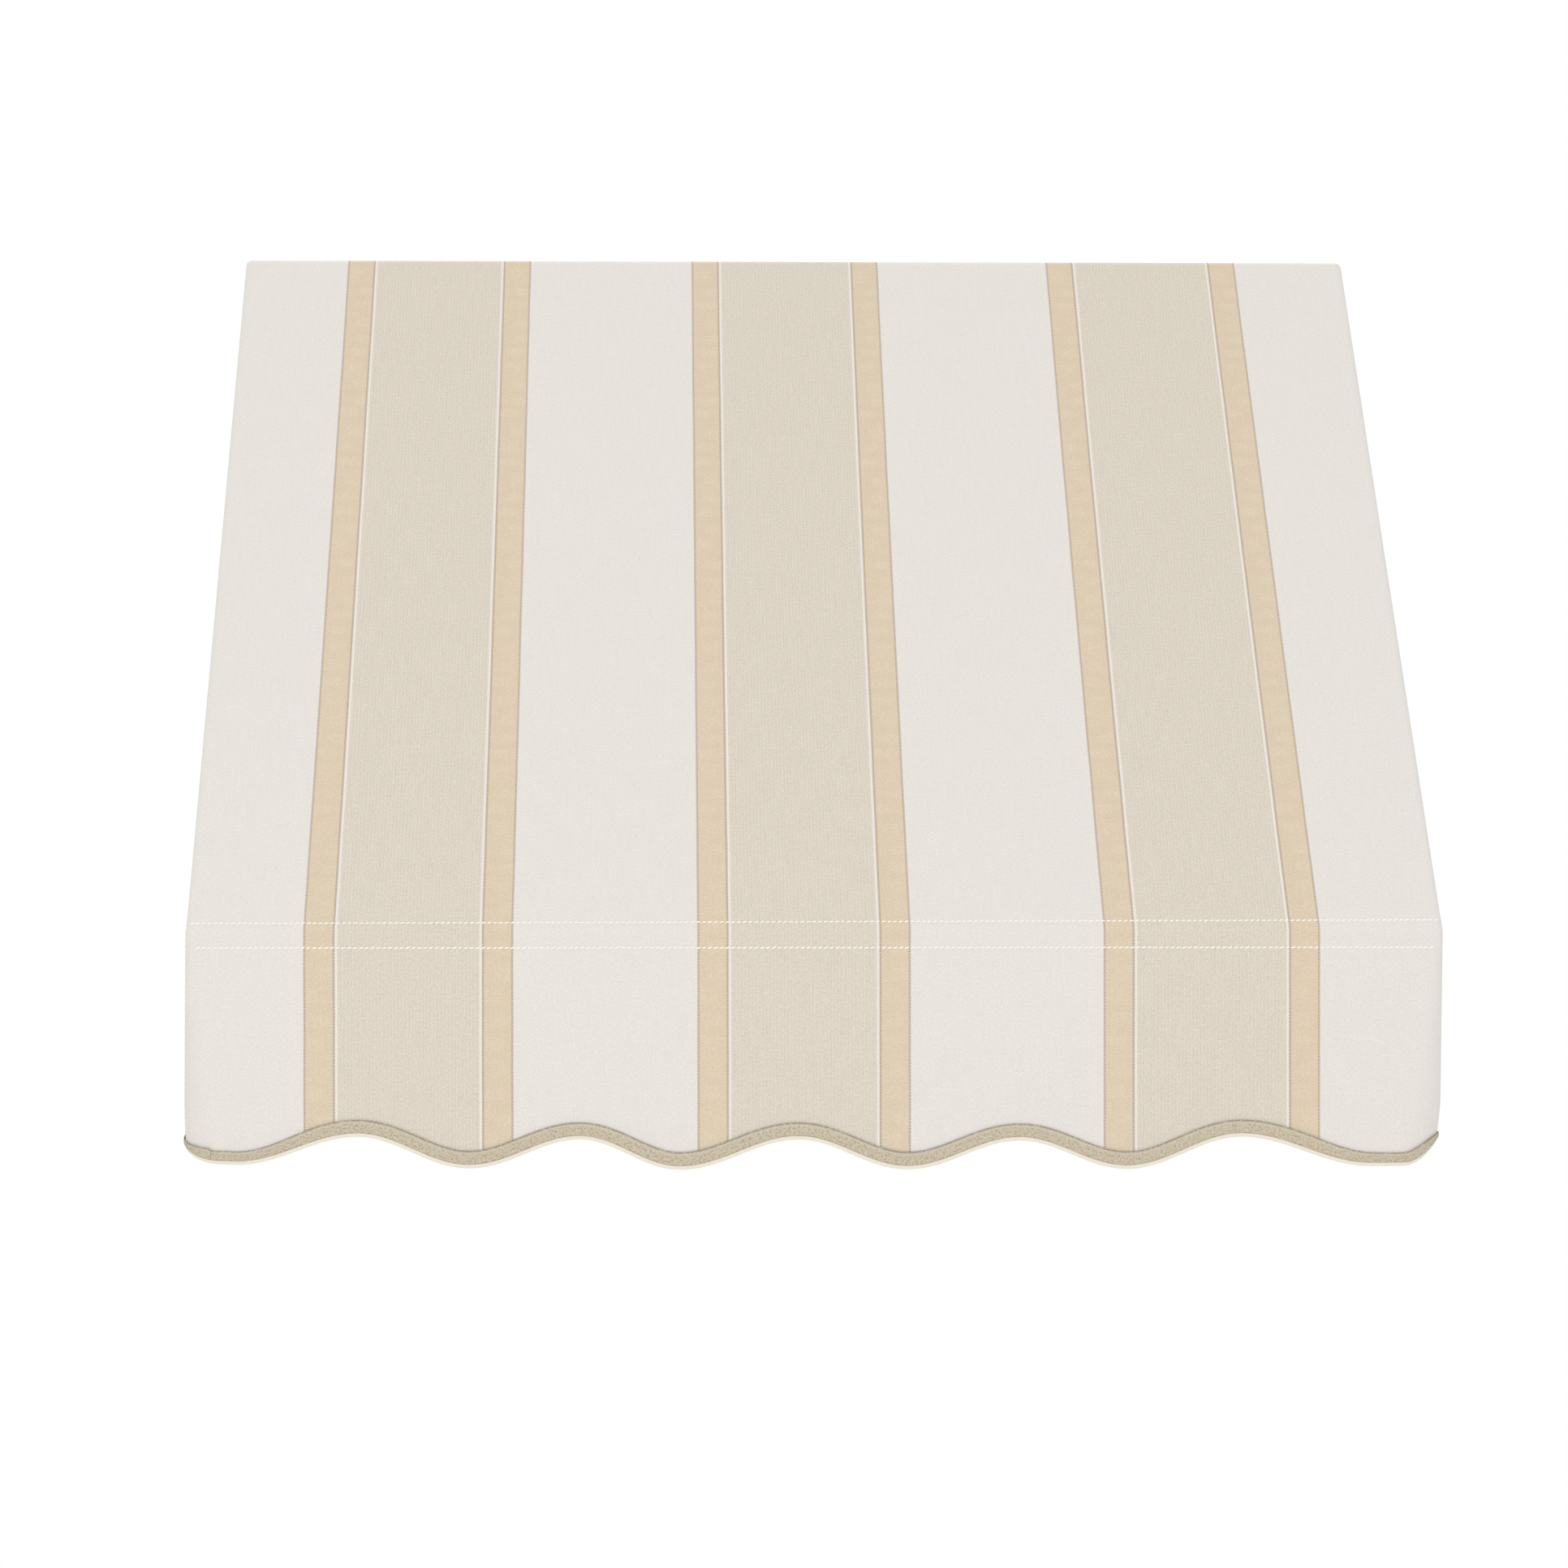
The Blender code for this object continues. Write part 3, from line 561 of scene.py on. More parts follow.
def nearest(mat, place, centres):
    """Distance from a place to the nearest of the centres."""
    found = mat.apart(place, centres[0])
    for centre in centres[1:]:
        found = mat.math("MINIMUM", found, mat.apart(place, centre))
    return found


def between_pairs(mat, place, centres):
    """1 between the two gold stripes of each pair, and 0 elsewhere."""
    found = 0.0
    for left, right in zip(centres[::2], centres[1::2]):
        inside = mat.math("LESS_THAN", mat.apart(place, (left + right) / 2), (right - left) / 2)
        found = mat.math("MAXIMUM", found, inside)
    return found


def gold_patches(mat, cloth, across, along, wavy, centres):
    """Pale hatched patches on the gold stripes, one to a period, each shifted a little."""
    periods = mat.math("DIVIDE", along, HATCH_PERIOD)
    row = mat.math("FLOOR", periods)
    shift = mat.noise(mat.vector(row, mat.times(row, 0.7)), 3.7, 0.0)
    level = mat.apart(mat.math("FRACT", periods), mat.range(shift, 0.3, 0.7, *PATCH_LEVELS))
    place = mat.minus(wavy, mat.range(shift, 0.35, 0.65, -PATCH_SHIFT, PATCH_SHIFT))
    off = nearest(mat, place, [centre + PATCH_OFFSET for centre in centres])
    patch = mat.times(mat.range(level, 0.18, 0.32, 1.0, 0.0), mat.range(off, *PATCH_EDGE, 1.0, 0.0))
    patch = mat.times(patch, mat.range(mat.noise(cloth, WORN_SCALE), 0.36, 0.60))
    threads = mat.math("MAXIMUM", mat.wave(along, HATCH_WEFT), mat.wave(across, HATCH_WARP))
    return mat.times(patch, mat.range(threads, 0.1, 0.9, *HATCH_STRENGTH))


def pale_lines(mat, field, between, edge):
    """A pale line beside each gold stripe, wider and stronger on its linen side."""
    reach = mat.scaled(between, LINE_EXTRA, LINE_END)
    line = mat.times(mat.math("GREATER_THAN", edge, LINE_START), mat.math("LESS_THAN", edge, reach))
    line = mat.times(line, mat.scaled(between, 0.43, 0.35))
    return mat.mix(line, field, WHITE_LINE)


def taupe_dashes(mat, field, edge, along):
    """Fine dashes on each edge of a gold stripe."""
    dashes = mat.math("MULTIPLY_ADD", mat.wave(along, DASH_PITCH), 1.2, 0.62, clamp=True)
    beside = mat.range(mat.math("ABSOLUTE", edge), LINE_START, 2 * LINE_START, 1.0, 0.0)
    return mat.mix(mat.times(dashes, beside), field, TAUPE)


def needle_hole_shade(mat, field, across, along, row, tilt, reach):
    """Painted shade of a needle hole between each two stitches of a row."""
    half = STITCH_PITCH / 2
    never_negative = mat.plus(across, 1000 * STITCH_PITCH)
    gap = mat.minus(half, mat.math("PINGPONG", never_negative, half))
    level = mat.minus(mat.scaled(across, -tilt, along), row)
    square = mat.scaled(gap, gap, mat.times(level, level))
    spot = mat.range(mat.math("SQRT", square), *HOLE_RADII, 0.9, 0.0)
    here = mat.math("LESS_THAN", mat.math("ABSOLUTE", across), reach)
    return mat.mix(mat.times(spot, here), field, NEEDLE_HOLE_SHADE)


def striped_cloth(name, centres, rows=(), reach=0.0):
    """Woven awning cloth: cream, with a linen field between each pair of gold stripes."""
    mat = Shader(name)
    across, along, place = mat.cloth_coordinates()
    wander = mat.noise(place, WANDER_SCALE, 1.0)
    wavy = mat.scaled(wander, STRIPE_WANDER, mat.minus(across, STRIPE_WANDER / 2))
    between = between_pairs(mat, wavy, centres)

    grain = mat.uneven(mat.vector(across, mat.times(along, 0.7)), GRAIN_SCALE, 1.5, 0.6)
    cloud = mat.uneven(place, CLOUD_SCALE, 3.0)
    slub = mat.uneven(mat.vector(across, mat.times(along, 0.07)), SLUB_SCALE)
    rib = mat.plus(mat.wave(across, RIB_PITCH), mat.wave(across, RIB_PITCH / 2))
    cream = marked(mat, CREAM, (grain, 0.26), (slub, 0.060), (cloud, 0.018))
    linen = marked(mat, LINEN, (grain, 0.44), (rib, 0.023), (slub, 0.110), (cloud, 0.022))
    band = mat.wave(along, BAND_PITCH)
    gold = marked(mat, GOLD, (grain, 0.36), (band, 0.007), (slub, 0.080))
    gold = mat.mix(gold_patches(mat, place, across, along, wavy, centres), gold, GOLD_LIGHT)

    field = mat.mix(between, cream, linen)
    edge = mat.minus(nearest(mat, wavy, centres), GOLD_WIDTH / 2)
    field = pale_lines(mat, field, between, edge)
    field = mat.mix(mat.math("LESS_THAN", edge, 0.0), field, gold)
    field = taupe_dashes(mat, field, edge, along)
    for row, tilt in rows:
        # Painted shade in the needle holes of the stitch rows
        field = needle_hole_shade(mat, field, across, along, row, tilt, reach)
    mat.base(field)

    relief = mat.scaled(grain, 2.2, mat.times(weave_relief(mat, across, along), 0.5))
    raised = mat.times(rib, mat.times(between, 0.45))
    mat.bump(mat.plus(relief, raised), WEAVE_RELIEF, 0.6)
    mat.principled.inputs["Sheen Weight"].default_value = 0.08
    mat.principled.inputs["Sheen Roughness"].default_value = 0.6
    return mat.finish(mat.scaled(grain, *CLOTH_ROUGH), specular=CLOTH_SPECULAR)


def plain_cloth(name):
    mat = Shader(name)
    across, along, place = mat.cloth_coordinates()
    grain = mat.uneven(place, 1050.0, 2.0, 0.6)
    mat.base(marked(mat, CREAM, (grain, 0.08)))
    mat.bump(mat.scaled(grain, 1.6, weave_relief(mat, across, along)), WEAVE_RELIEF, 0.6)
    return mat.finish(mat.scaled(grain, *CLOTH_ROUGH), specular=CLOTH_SPECULAR)


def braid_cloth(name):
    """Khaki tape: a close diagonal weave with dark specks, and painted shade along its upper edge."""
    mat = Shader(name)
    across, height, place = mat.cloth_coordinates()
    skew = mat.wave(mat.plus(across, height), BRAID_WEAVE)
    weave = mat.times(skew, mat.wave(mat.minus(across, height), BRAID_WEAVE))
    speck = mat.noise(place, 470.0, 1.5, 0.6)
    mottle = mat.noise(place, 90.0)
    base = mat.brighten(KHAKI, mat.scaled(weave, 0.035, mat.scaled(mottle, 0.06, 0.97)))
    base = mat.mix(mat.range(speck, 0.50, 0.66, 0.0, 0.60), base, KHAKI_DARK)
    base = mat.mix(mat.range(speck, 0.46, 0.32, 0.0, 0.7), base, KHAKI_PALE)
    shoulder = mat.range(height, BRAID_HEIGHT - 0.0040, BRAID_HEIGHT - 0.0030)
    base = mat.mix(mat.times(shoulder, 0.45), base, KHAKI_PALE)
    # Painted shade: a broken darker line along the tape's upper edge, where it stands off the cloth
    top = mat.range(height, BRAID_HEIGHT - 0.0016, BRAID_HEIGHT - 0.0008)
    broken = mat.range(mat.noise(place, 300.0, 1.0), 0.36, 0.50, 0.45, 0.95)
    base = mat.mix(mat.times(top, broken), base, KHAKI_EDGE_SHADE)
    foot = mat.range(height, 0.0016, 0.0004, 0.0, 0.35)
    mat.base(mat.mix(foot, base, KHAKI_DARK))
    mat.bump(mat.scaled(speck, 1.5, weave), 0.0003, 0.7)
    return mat.finish(0.9, specular=CLOTH_SPECULAR)


def binding_cloth(name):
    mat = Shader(name)
    across, height, place = mat.cloth_coordinates()
    grain = mat.uneven(place, 700.0, 2.0, 0.6)
    cord = mat.wave(mat.plus(across, mat.times(height, 0.6)), CORD_PITCH)
    mat.base(marked(mat, LIP, (grain, 0.08), (cord, 0.012)))
    mat.bump(mat.scaled(grain, 1.2, cord), 0.00018, 0.6)
    return mat.finish(0.9, specular=CLOTH_SPECULAR)


def thread_material(name):
    mat = Shader(name)
    twist = mat.noise(mat.object_coordinates(), 1400.0, 1.0)
    mat.base(mat.brighten(THREAD, mat.scaled(twist, 0.10, 0.95)))
    mat.bump(twist, 0.0002, 0.5)
    return mat.finish(0.75, specular=0.25)


def metal(name, base, grain, roughness, relief, turn=0.0):
    """Metal with fine marks of the given sizes along X, Y and Z, all turned about X."""
    mat = Shader(name)
    place = mat.object_coordinates()
    mapping = mat.add("Mapping", place, vector_type="TEXTURE")
    mapping.inputs["Rotation"].default_value = (turn, 0.0, 0.0)
    mapping.inputs["Scale"].default_value = grain
    marks = mat.noise(mapping.outputs[0], 1.0, 4.0, 0.6)
    stain = mat.noise(place, STAIN_SCALE, 3.0)
    mat.base(mat.brighten(base, mat.scaled(stain, 0.16, mat.scaled(marks, 0.10, 0.87))))
    rough = mat.scaled(marks, 0.22, mat.scaled(stain, 0.12, roughness - 0.17))
    mat.bump(marks, relief, 0.5)
    return mat.finish(rough, metallic=1.0)


def add_shape(name, shape):
    mesh = bpy.data.meshes.new(name)
    shape.to_mesh(mesh)
    shape.free()
    return add_object(name, mesh)


def screw_body():
    """A pan head above the seat at the origin and a plain shank below it, turned about Z."""
    turn = np.linspace(0.0, math.pi / 2, 9)
    profile = [(HEAD * math.sin(t) ** 0.8, CROWN * (0.35 + 0.65 * math.cos(t) ** 0.7)) for t in turn]
    profile[0] = (0.0, CROWN)
    profile += [(HEAD, 0.0002), (HEAD - 0.0002, 0.0), (SHANK, 0.0)]
    profile += [(SHANK, 0.0010 - SHANK_LENGTH), (SHANK * 0.4, -SHANK_LENGTH), (0.0, -SHANK_LENGTH)]
    shape = bmesh.new()
    rings = []
    for radius, level in profile:
        if radius == 0.0:
            rings.append([shape.verts.new((0.0, 0.0, level))] * SCREW_SIDES)
            continue
        angles = [2 * math.pi * corner / SCREW_SIDES for corner in range(SCREW_SIDES)]
        rings.append([shape.verts.new((radius * math.cos(a), radius * math.sin(a), level)) for a in angles])
    for upper, lower in zip(rings, rings[1:]):
        for corner in range(SCREW_SIDES):
            after = (corner + 1) % SCREW_SIDES
            loop = [upper[corner], lower[corner], lower[after], upper[after]]
            shape.faces.new(list(dict.fromkeys(loop)))
    return add_shape("screw_head", shape)


def recess_cutter(size):
    """One bar of the cross recess, tapered towards its foot."""
    shape = bmesh.new()
    bmesh.ops.create_cube(shape, size=1.0)
    for corner in shape.verts:
        x, y, z = corner.co
        taper = 1.0 if z > 0 else 0.45
        corner.co = Vector((x * size[0] * taper, y * size[1], z * size[2] + CROWN))
    return add_shape("recess", shape)


def screw_head_mesh(material):
    """A pan-head screw with a cross recess, its seat at the origin and its head along Z."""
    made = screw_body()
    cutters = []
    long, wide, deep = RECESS
    for size in ((long, wide, deep), (wide, long, deep)):
        cutter = recess_cutter(size)
        cut = made.modifiers.new("recess", "BOOLEAN")
        cut.operation = "DIFFERENCE"
        cut.solver = "EXACT"
        cut.object = cutter
        cutters.append(cutter)
    bpy.context.view_layer.update()
    evaluated = made.evaluated_get(bpy.context.evaluated_depsgraph_get())
    finished = bpy.data.meshes.new_from_object(evaluated)
    for spare in cutters + [made]:
        bpy.data.objects.remove(spare)
    finished.name = "pan_head_screw"
    finished.materials.clear()
    finished.materials.append(material)
    finished.shade_smooth()
    finished.set_sharp_from_angle(angle=math.radians(32))
    return finished


def place_piece(made, slot, *nodes):
    """Let a piece ride the root body, and stand for nodes of the frame, which are hidden. The slot is not
    used.
    """
    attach(made, "root")
    if nodes:
        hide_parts(*nodes)
    return made


def screw_direction(node):
    """The way a screw's head points, from the name of the bar or bracket that it holds."""
    if node.startswith("front_bar"):
        return Vector((0.0, 1.0, 0.0))
    if "rafter" in node:
        return Vector((0.0, -math.sin(DOWN_SLOPE), math.cos(DOWN_SLOPE)))
    if "side_bar" in node or "wall_bar" in node:
        return Vector((1.0 if node.startswith("left") else -1.0, 0.0, 0.0))
    return Vector((0.0, 0.0, -1.0))


def make_screws(nodes, material):
    mesh = screw_head_mesh(material)
    rng = np.random.default_rng(4)
    for name, node in nodes.items():
        if not name.endswith("_screw"):
            continue
        axis = screw_direction(name)
        low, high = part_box(name)
        middle = (low + high) / 2
        reach = max(corner.co.dot(axis) for corner in node.data.vertices) - middle.dot(axis)
        seat = middle + axis * (reach - CROWN)
        made = add_object("fine_" + name, mesh)
        turn = Matrix.Rotation(rng.random() * math.pi / 2, 4, "Z")
        facing = axis.to_track_quat("Z", "Y").to_matrix().to_4x4()
        made.matrix_world = Matrix.Translation(seat) @ facing @ turn
        place_piece(made, "zinc_screw", name)


def dress_metal(nodes):
    """Give each bar, fitting and bracket of the frame its own metal."""
    fine, long = 0.0009, 0.22
    drawn = (0.34, 0.00004)
    tubes = {
        "head_bar": metal("drawn_tube_across", SATIN, (long, fine, fine), *drawn),
        "rafter": metal("drawn_tube_slope", SATIN, (fine, long, fine), *drawn, DOWN_SLOPE - math.pi),
        "side_bar": metal("drawn_tube_forward", SATIN, (fine, long, fine), *drawn),
        "wall_bar": metal("drawn_tube_upright", SATIN, (fine, fine, long), *drawn),
    }
    tubes["front_bar"] = tubes["head_bar"]
    castings = metal("cast_aluminium_skin", CAST, (0.0013, 0.0013, 0.0013), 0.58, 0.00012)
    bracket = metal("extruded_bracket", CAST, (long, 0.0008, 0.0008), 0.42, 0.00004)
    chosen = {"_corner": castings, "_foot": castings, "_bracket": bracket, **tubes}
    for name, node in nodes.items():
        for ending, finish in chosen.items():
            if name.endswith(ending):
                node.data.materials.clear()
                node.data.materials.append(finish)


def valance_waves(across, along):
    """Soft waves of the hanging valance, off the cloth's plane."""
    waves = VALANCE_WAVE * cloth_noise(across, along * 0.25, 7, longest=0.40, shortest=0.12)
    return blend(along - BAR_LEVEL, *WAVE_DEPTHS) * waves


def away_from_sides(across):
    """1 over most of the front, falling to 0 before its corners."""
    return 1 - blend(np.abs(across), COVER_HALF - 0.10, COVER_HALF - 0.022)


def canopy_relief(across, along):
    """How far the taut cloth lies off its frame: a little sag, soft waves and puckers at the seams."""
    slope = blend(along, SLOPE_START, SLOPE_START + 0.10)
    slope = slope * (1 - blend(along, SLOPE_END - 0.10, SLOPE_END))
    reach = np.clip((along - SLOPE_START) / RAFTER_LENGTH, 0, 1)
    bow = np.cos(math.pi * np.clip(across / COVER_HALF / 2, -0.5, 0.5))
    sag = -CANOPY_SAG * np.sin(math.pi * reach) * bow
    waves = CANOPY_WAVE * cloth_noise(across, along * 0.5, 3)
    out = (slope * (sag + waves) + valance_waves(across, along)) * away_from_sides(across)
    pucker = 0.00015 * cloth_noise(across, along, 11, longest=0.03, shortest=0.012)
    for row, tilt in STITCH_ROWS:
        level = row + tilt * across
        near = np.exp(-(((along - level) / 0.0016) ** 2))
        wide = np.exp(-(((along - level) / 0.010) ** 2))
        out = out - 0.00025 * near + wide * pucker
    return out


def canopy_columns():
    """Places across the canopy at its top edge: close together at the corners, wider in the middle."""
    fine = even(COVER_HALF - CORNER_ZONE, COVER_HALF + 0.0015, 0.0030)
    edge = even(COVER_HALF + 0.0015, float(side_edge(SLOPE_START)), 0.0013)
    notches = [place + side * BRACKET_NOTCH for place in BRACKET_PLACES for side in (-1, 1)]
    middle = even(-COVER_HALF + CORNER_ZONE, COVER_HALF - CORNER_ZONE, MIDDLE_STEP)
    return stations(-edge, -fine, middle, fine, edge, notches, (-SLEEVE_HALF, SLEEVE_HALF))


def canopy_levels():
    """Places along the canopy from its sleeve's inner edge to below the front bar."""
    head = [corner for corner in CANOPY.corners if corner <= SLOPE_START]
    slope = even(SLOPE_START, SLOPE_END - 0.03, 0.0105)
    turn = [corner for corner in CANOPY.corners if SLOPE_END < corner <= BAR_LEVEL]
    near_bar = stations(even(SLOPE_END - 0.03, SLOPE_END, SEAM_STEP), turn)
    return stations(head, [WRAP_END], slope, near_bar, even(BAR_LEVEL, BAR_LEVEL + BAR_ZONE, SEAM_STEP))


def canopy_grid(columns, upper):
    """Flat places of the canopy: level rows to below the bar, then rows that close in on the hem."""
    lower = np.linspace(0.0, 1.0, CANOPY_LOWER_ROWS + 1)[1:]
    start = BAR_LEVEL + BAR_ZONE
    across = np.tile(columns, (len(upper) + len(lower), 1))
    along = np.zeros_like(across)
    along[: len(upper)] = upper[:, None]
    turn = COVER_HALF - CORNER_ZONE
    first_edge = float(side_edge(SLOPE_START))
    share = np.clip((np.abs(columns) - turn) / (first_edge - turn), 0.0, 1.0)
    for _ in range(CANOPY_ROUNDS):
        depth = BAR_LEVEL + hem_depth(across[len(upper) :])
        along[len(upper) :] = start + lower[:, None] * (depth - start)
        across = np.sign(columns) * (np.abs(columns) + share * (side_edge(along) - first_edge))
    return across, along


def canopy_cells(columns, along):
    """Which cells are cloth: all below the head sleeve, and its own between and beside the brackets."""
    middle_columns = (columns[:-1] + columns[1:]) / 2
    middle_rows = (along[:-1, :-1] + along[1:, 1:]) / 2
    in_sleeve = np.abs(middle_columns) < SLEEVE_HALF
    for place in BRACKET_PLACES:
        in_sleeve &= np.abs(middle_columns - place) > BRACKET_NOTCH
    return (middle_rows > WRAP_END) | in_sleeve[None, :]


def make_canopy(material):
    columns = canopy_columns()
    across, along = canopy_grid(columns, canopy_levels())
    proud = LAP * blend(np.abs(across), COVER_HALF - 0.003, COVER_HALF + 0.002)
    places = cover_place(across, along, canopy_relief(across, along) + proud)
    keep = canopy_cells(columns, along)
    made = grid_piece("striped_canopy", places, across, along, material, keep=keep)
    return place_piece(made, "cover_cloth", "canopy_cloth")


def seam_point(along):
    """The canopy's side seam in (y, z): a line inside its edge, where the wing is sewn under it."""
    place = cover_place(side_edge(along) - SEAM_INSET, along)
    return place[..., 1], place[..., 2]


def seam_line():
    """The seam's places from the top down, in (y, z)."""
    slope = even(SLOPE_START + 0.001, SLOPE_END, 0.01)
    turn = even(SLOPE_END, BAR_LEVEL + 0.02, 0.002)
    fall = even(BAR_LEVEL + 0.02, BAR_LEVEL + HANGING_RUN, 0.01)
    y, z = seam_point(stations(slope, turn, fall))
    falling = np.concatenate([[True], np.diff(z) < 0])
    return y[falling], z[falling]


SEAM_Y, SEAM_Z = seam_line()


# How far across the cloth, at the hem, the corner ends and the side begins
HEM_SIDE = COVER_HALF + VALANCE_FLARE + HEM_FLARE + (math.pi / 2 - 1) * HEM_CORNER_RADIUS


def wing_lift(side, y, height):
    """How far a wing's cloth lies outside its frame's plane: flare, soft sag, waves below the bar."""
    from_wall = BACK_Y - y
    from_seam = np.interp(-height, -SEAM_Z, BACK_Y - SEAM_Y) - from_wall
    loose = blend(from_seam, 0.015, 0.06) * blend(from_wall, 0.015, 0.06)
    waves = WING_HEM_WAVE * cloth_noise(y, height * 0.25, 20 + side, longest=0.35, shortest=0.12)
    hang = blend(-DROP - height, *WAVE_DEPTHS) * waves
    upper = blend(height, -DROP + 0.03, -DROP + 0.12)
    sag = -upper * WING_SAG * np.sin(math.pi * np.clip(from_wall / PROJECTION, 0, 1))
    soft = upper * WING_WAVE * cloth_noise(y, height, 30 + side)
    return loose * (hang + sag + soft) + flare(BAR_LEVEL - DROP - height, side)


def wing_levels():
    """Heights of a wing's level rows, from its top down to the start of the scalloped part."""
    top = float(SEAM_Z[0])
    seams = [even(-DROP + level - 0.004, -DROP + level + 0.004, 0.0014) for level in (-0.015, 0.015)]
    marks = [top, -SLEEVE_SETBACK, SLEEVE_FOOT]
    levels = stations(marks, even(WING_LEVEL_END, top, WING_STEP), *seams)[::-1]
    return levels[levels >= WING_LEVEL_END - 1e-9]


def wing_grid(side, sleeve):
    """A wing's places along its line, and heights: level rows, then rows that close in on the hem."""
    levels = wing_levels()
    lower = np.linspace(0.0, 1.0, WING_LOWER_ROWS + 1)[1:]
    shares = stations(even(0.0, 0.06, 0.01), even(0.06, 1.0, 0.017))
    height = np.zeros((len(levels) + len(lower), len(sleeve) + len(shares)))
    height[: len(levels)] = levels[:, None]
    forward = np.zeros_like(height)
    forward[:, : len(sleeve)] = sleeve
    for _ in range(WING_ROUNDS):
        reach = np.interp(-height[:, len(sleeve) :], -SEAM_Z, BACK_Y - SEAM_Y)
        forward[:, len(sleeve) :] = WING_START + shares * reach
        from_front = WING.at(forward)[0] - FRONT_Y + SHEET_RADIUS
        depth = -DROP - hem_depth(side * (HEM_SIDE + from_front - HEM_CORNER_RADIUS))
        fall = depth[len(levels) :] - WING_LEVEL_END
        height[len(levels) :] = WING_LEVEL_END + lower[:, None] * fall
    return forward, height


def make_wing(name, side, material):
    sleeve = stations([corner for corner in WING.corners if corner < WING_START])
    forward, height = wing_grid(side, sleeve)
    y, x, _, _ = WING.at(forward)
    x = x + np.where(forward > WING_START, wing_lift(side, y, height), 0.0)
    places = np.stack([side * x, y, height], axis=-1)
    middle_rows = (height[:-1, :-1] + height[1:, :-1]) / 2
    in_sleeve = (middle_rows < -SLEEVE_SETBACK) & (middle_rows > SLEEVE_FOOT)
    is_sleeve = np.arange(height.shape[1] - 1) < len(sleeve)
    keep = in_sleeve | ~is_sleeve[None, :]
    made = grid_piece(name + "_striped_wing", places, forward - WING_START, height, material, keep=keep)
    return place_piece(made, "cover_cloth", name + "_wing")


def hem_run():
    """Places along the hem from the wall on the left, round the front, to the wall on the right."""
    end = HEM_SIDE - HEM_CORNER_RADIUS + BACK_Y - FRONT_Y + SHEET_RADIUS
    corner = COVER_HALF - HEM_CORNER_RADIUS
    turn = even(corner, corner + 0.064, 0.0022)
    side = even(corner, end, 0.005)
    left = even(-end, -corner, 0.005)
    return stations(left, -turn, even(-corner, corner, 0.0045), turn, side)


def fold_over_hem(name, profile, thickness, material, across, height_of=None):
    """A tape along the hem; its section is places (height above the hem, distance off the cloth)."""
    heights = np.array([height for height, _ in profile])[:, None]
    outs = np.array([out for _, out in profile])[:, None]
    own = travel(profile)[:, None]
    if height_of is not None:
        own = heights
        heights = heights * height_of(across)[None, :]
    at_across, at_along = above_hem(across[None, :], heights)
    out = outs + valance_waves(at_across, at_along) * away_from_sides(at_across)
    places = cover_place(at_across, at_along, out)
    side = np.sign(places[..., 0])
    on_wing = blend(np.abs(at_across), HEM_SIDE, HEM_SIDE + 0.01)
    for which in (-1, 1):
        spread = flare(BAR_LEVEL - DROP - places[..., 2], which)
        lift = wing_lift(which, places[..., 1], places[..., 2]) - spread
        places[..., 0] += np.where(side == which, which * on_wing * lift, 0.0)
    return grid_piece(name, places, across[None, :], own, material, thickness)


def tape_section(low, high, out, bulge):
    """A flat tape that stands a little proud along its middle."""
    shares = np.array((0.0, 0.03, 0.08, 0.16, 0.30, 0.50, 0.70, 0.84, 0.92, 0.97, 1.0))
    rise = np.minimum(1.0, 2.4 * np.sin(math.pi * shares) ** 0.5)
    return [(low + (high - low) * share, out + bulge * (lift - 1)) for share, lift in zip(shares, rise)]


def band_share(across):
    """The tape stands a little higher where the hem hangs low, and is drawn narrow round the corners."""
    size = np.abs(across)
    spread = 1.0 + BRAID_SPREAD * (hem_depth(across) - HEM_DEPTH) / (SCALLOP_HEIGHT / 2)
    at_corner = 1 - blend(size, *NARROW_ENDS)
    drawn_in = BRAID_NARROWING * blend(size, *NARROW_STARTS) * at_corner
    pinch = CORNER_PINCH * blend(size, *PINCH_STARTS) * at_corner
    return spread * (1.0 - drawn_in) * (1.0 - pinch)


def left_share(across):
    """The left length of tape stands higher than the front's, its loose upper corner rounded off."""
    inside = np.abs(across) - abs(LEFT_LAP)
    return band_share(across) * (1 + LEFT_LAP_RISE * blend(inside, 0.0, LAP_ROUNDING))


def make_braid(name, across, lift, height_of, material):
    out = THIN / 2 + 2 * BINDING_OFF + BRAID_THICK / 2 + lift
    section = tape_section(0.0004, BRAID_HEIGHT, out, 0.0003)
    made = fold_over_hem(name, section, BRAID_THICK, material, across, height_of)
    return place_piece(made, "valance_braid", "valance_braid")


def make_binding(material):
    """Cream tape folded under the hem; its fold shows below the braid, its back leg inside."""
    leg = THIN / 2 + BINDING_OFF
    turn = np.linspace(0.0, math.pi, 13)
    fold = [(-LIP_HEIGHT + FOLD_RADIUS * (1 - math.sin(t)), FOLD_RADIUS * math.cos(t)) for t in turn]
    front = [(height, leg) for height in (0.0042, 0.0026, 0.0010)]
    front += [(-0.0004, leg + 0.0004), (-0.0012, FOLD_RADIUS)]
    back = [(-0.0004, -leg - 0.0003)] + [(height, -leg) for height in (0.0010, 0.0050, 0.0095, 0.0125)]
    made = fold_over_hem("hem_binding", front + fold + back, 0.0004, material, hem_run())
    return place_piece(made, "valance_braid", "valance_braid")


def pocket_piece(name, section, places_of, start, end, material, node):
    """A strip of cream cloth; section is its line, places_of turns (across, section place) into space."""
    own = travel(section)
    across = even(start, end, 0.008)
    wave = 0.0003 * cloth_noise(across[None, :], own[:, None] * 2, len(name), longest=0.12, shortest=0.03)
    places = np.stack([np.stack(places_of(across, place), axis=-1) for place in section])
    places = places + wave[..., None] * np.array([0.0, 0.6, 0.6])
    made = grid_piece(name, places, across[None, :], own[:, None], material)
    return place_piece(made, "cover_cloth", node), float(own[-1])


def arc_places(centre, radius, start, end, count):
    turns = np.linspace(start, end, count)
    return [(centre[0] + radius * math.cos(turn), centre[1] + radius * math.sin(turn)) for turn in turns]


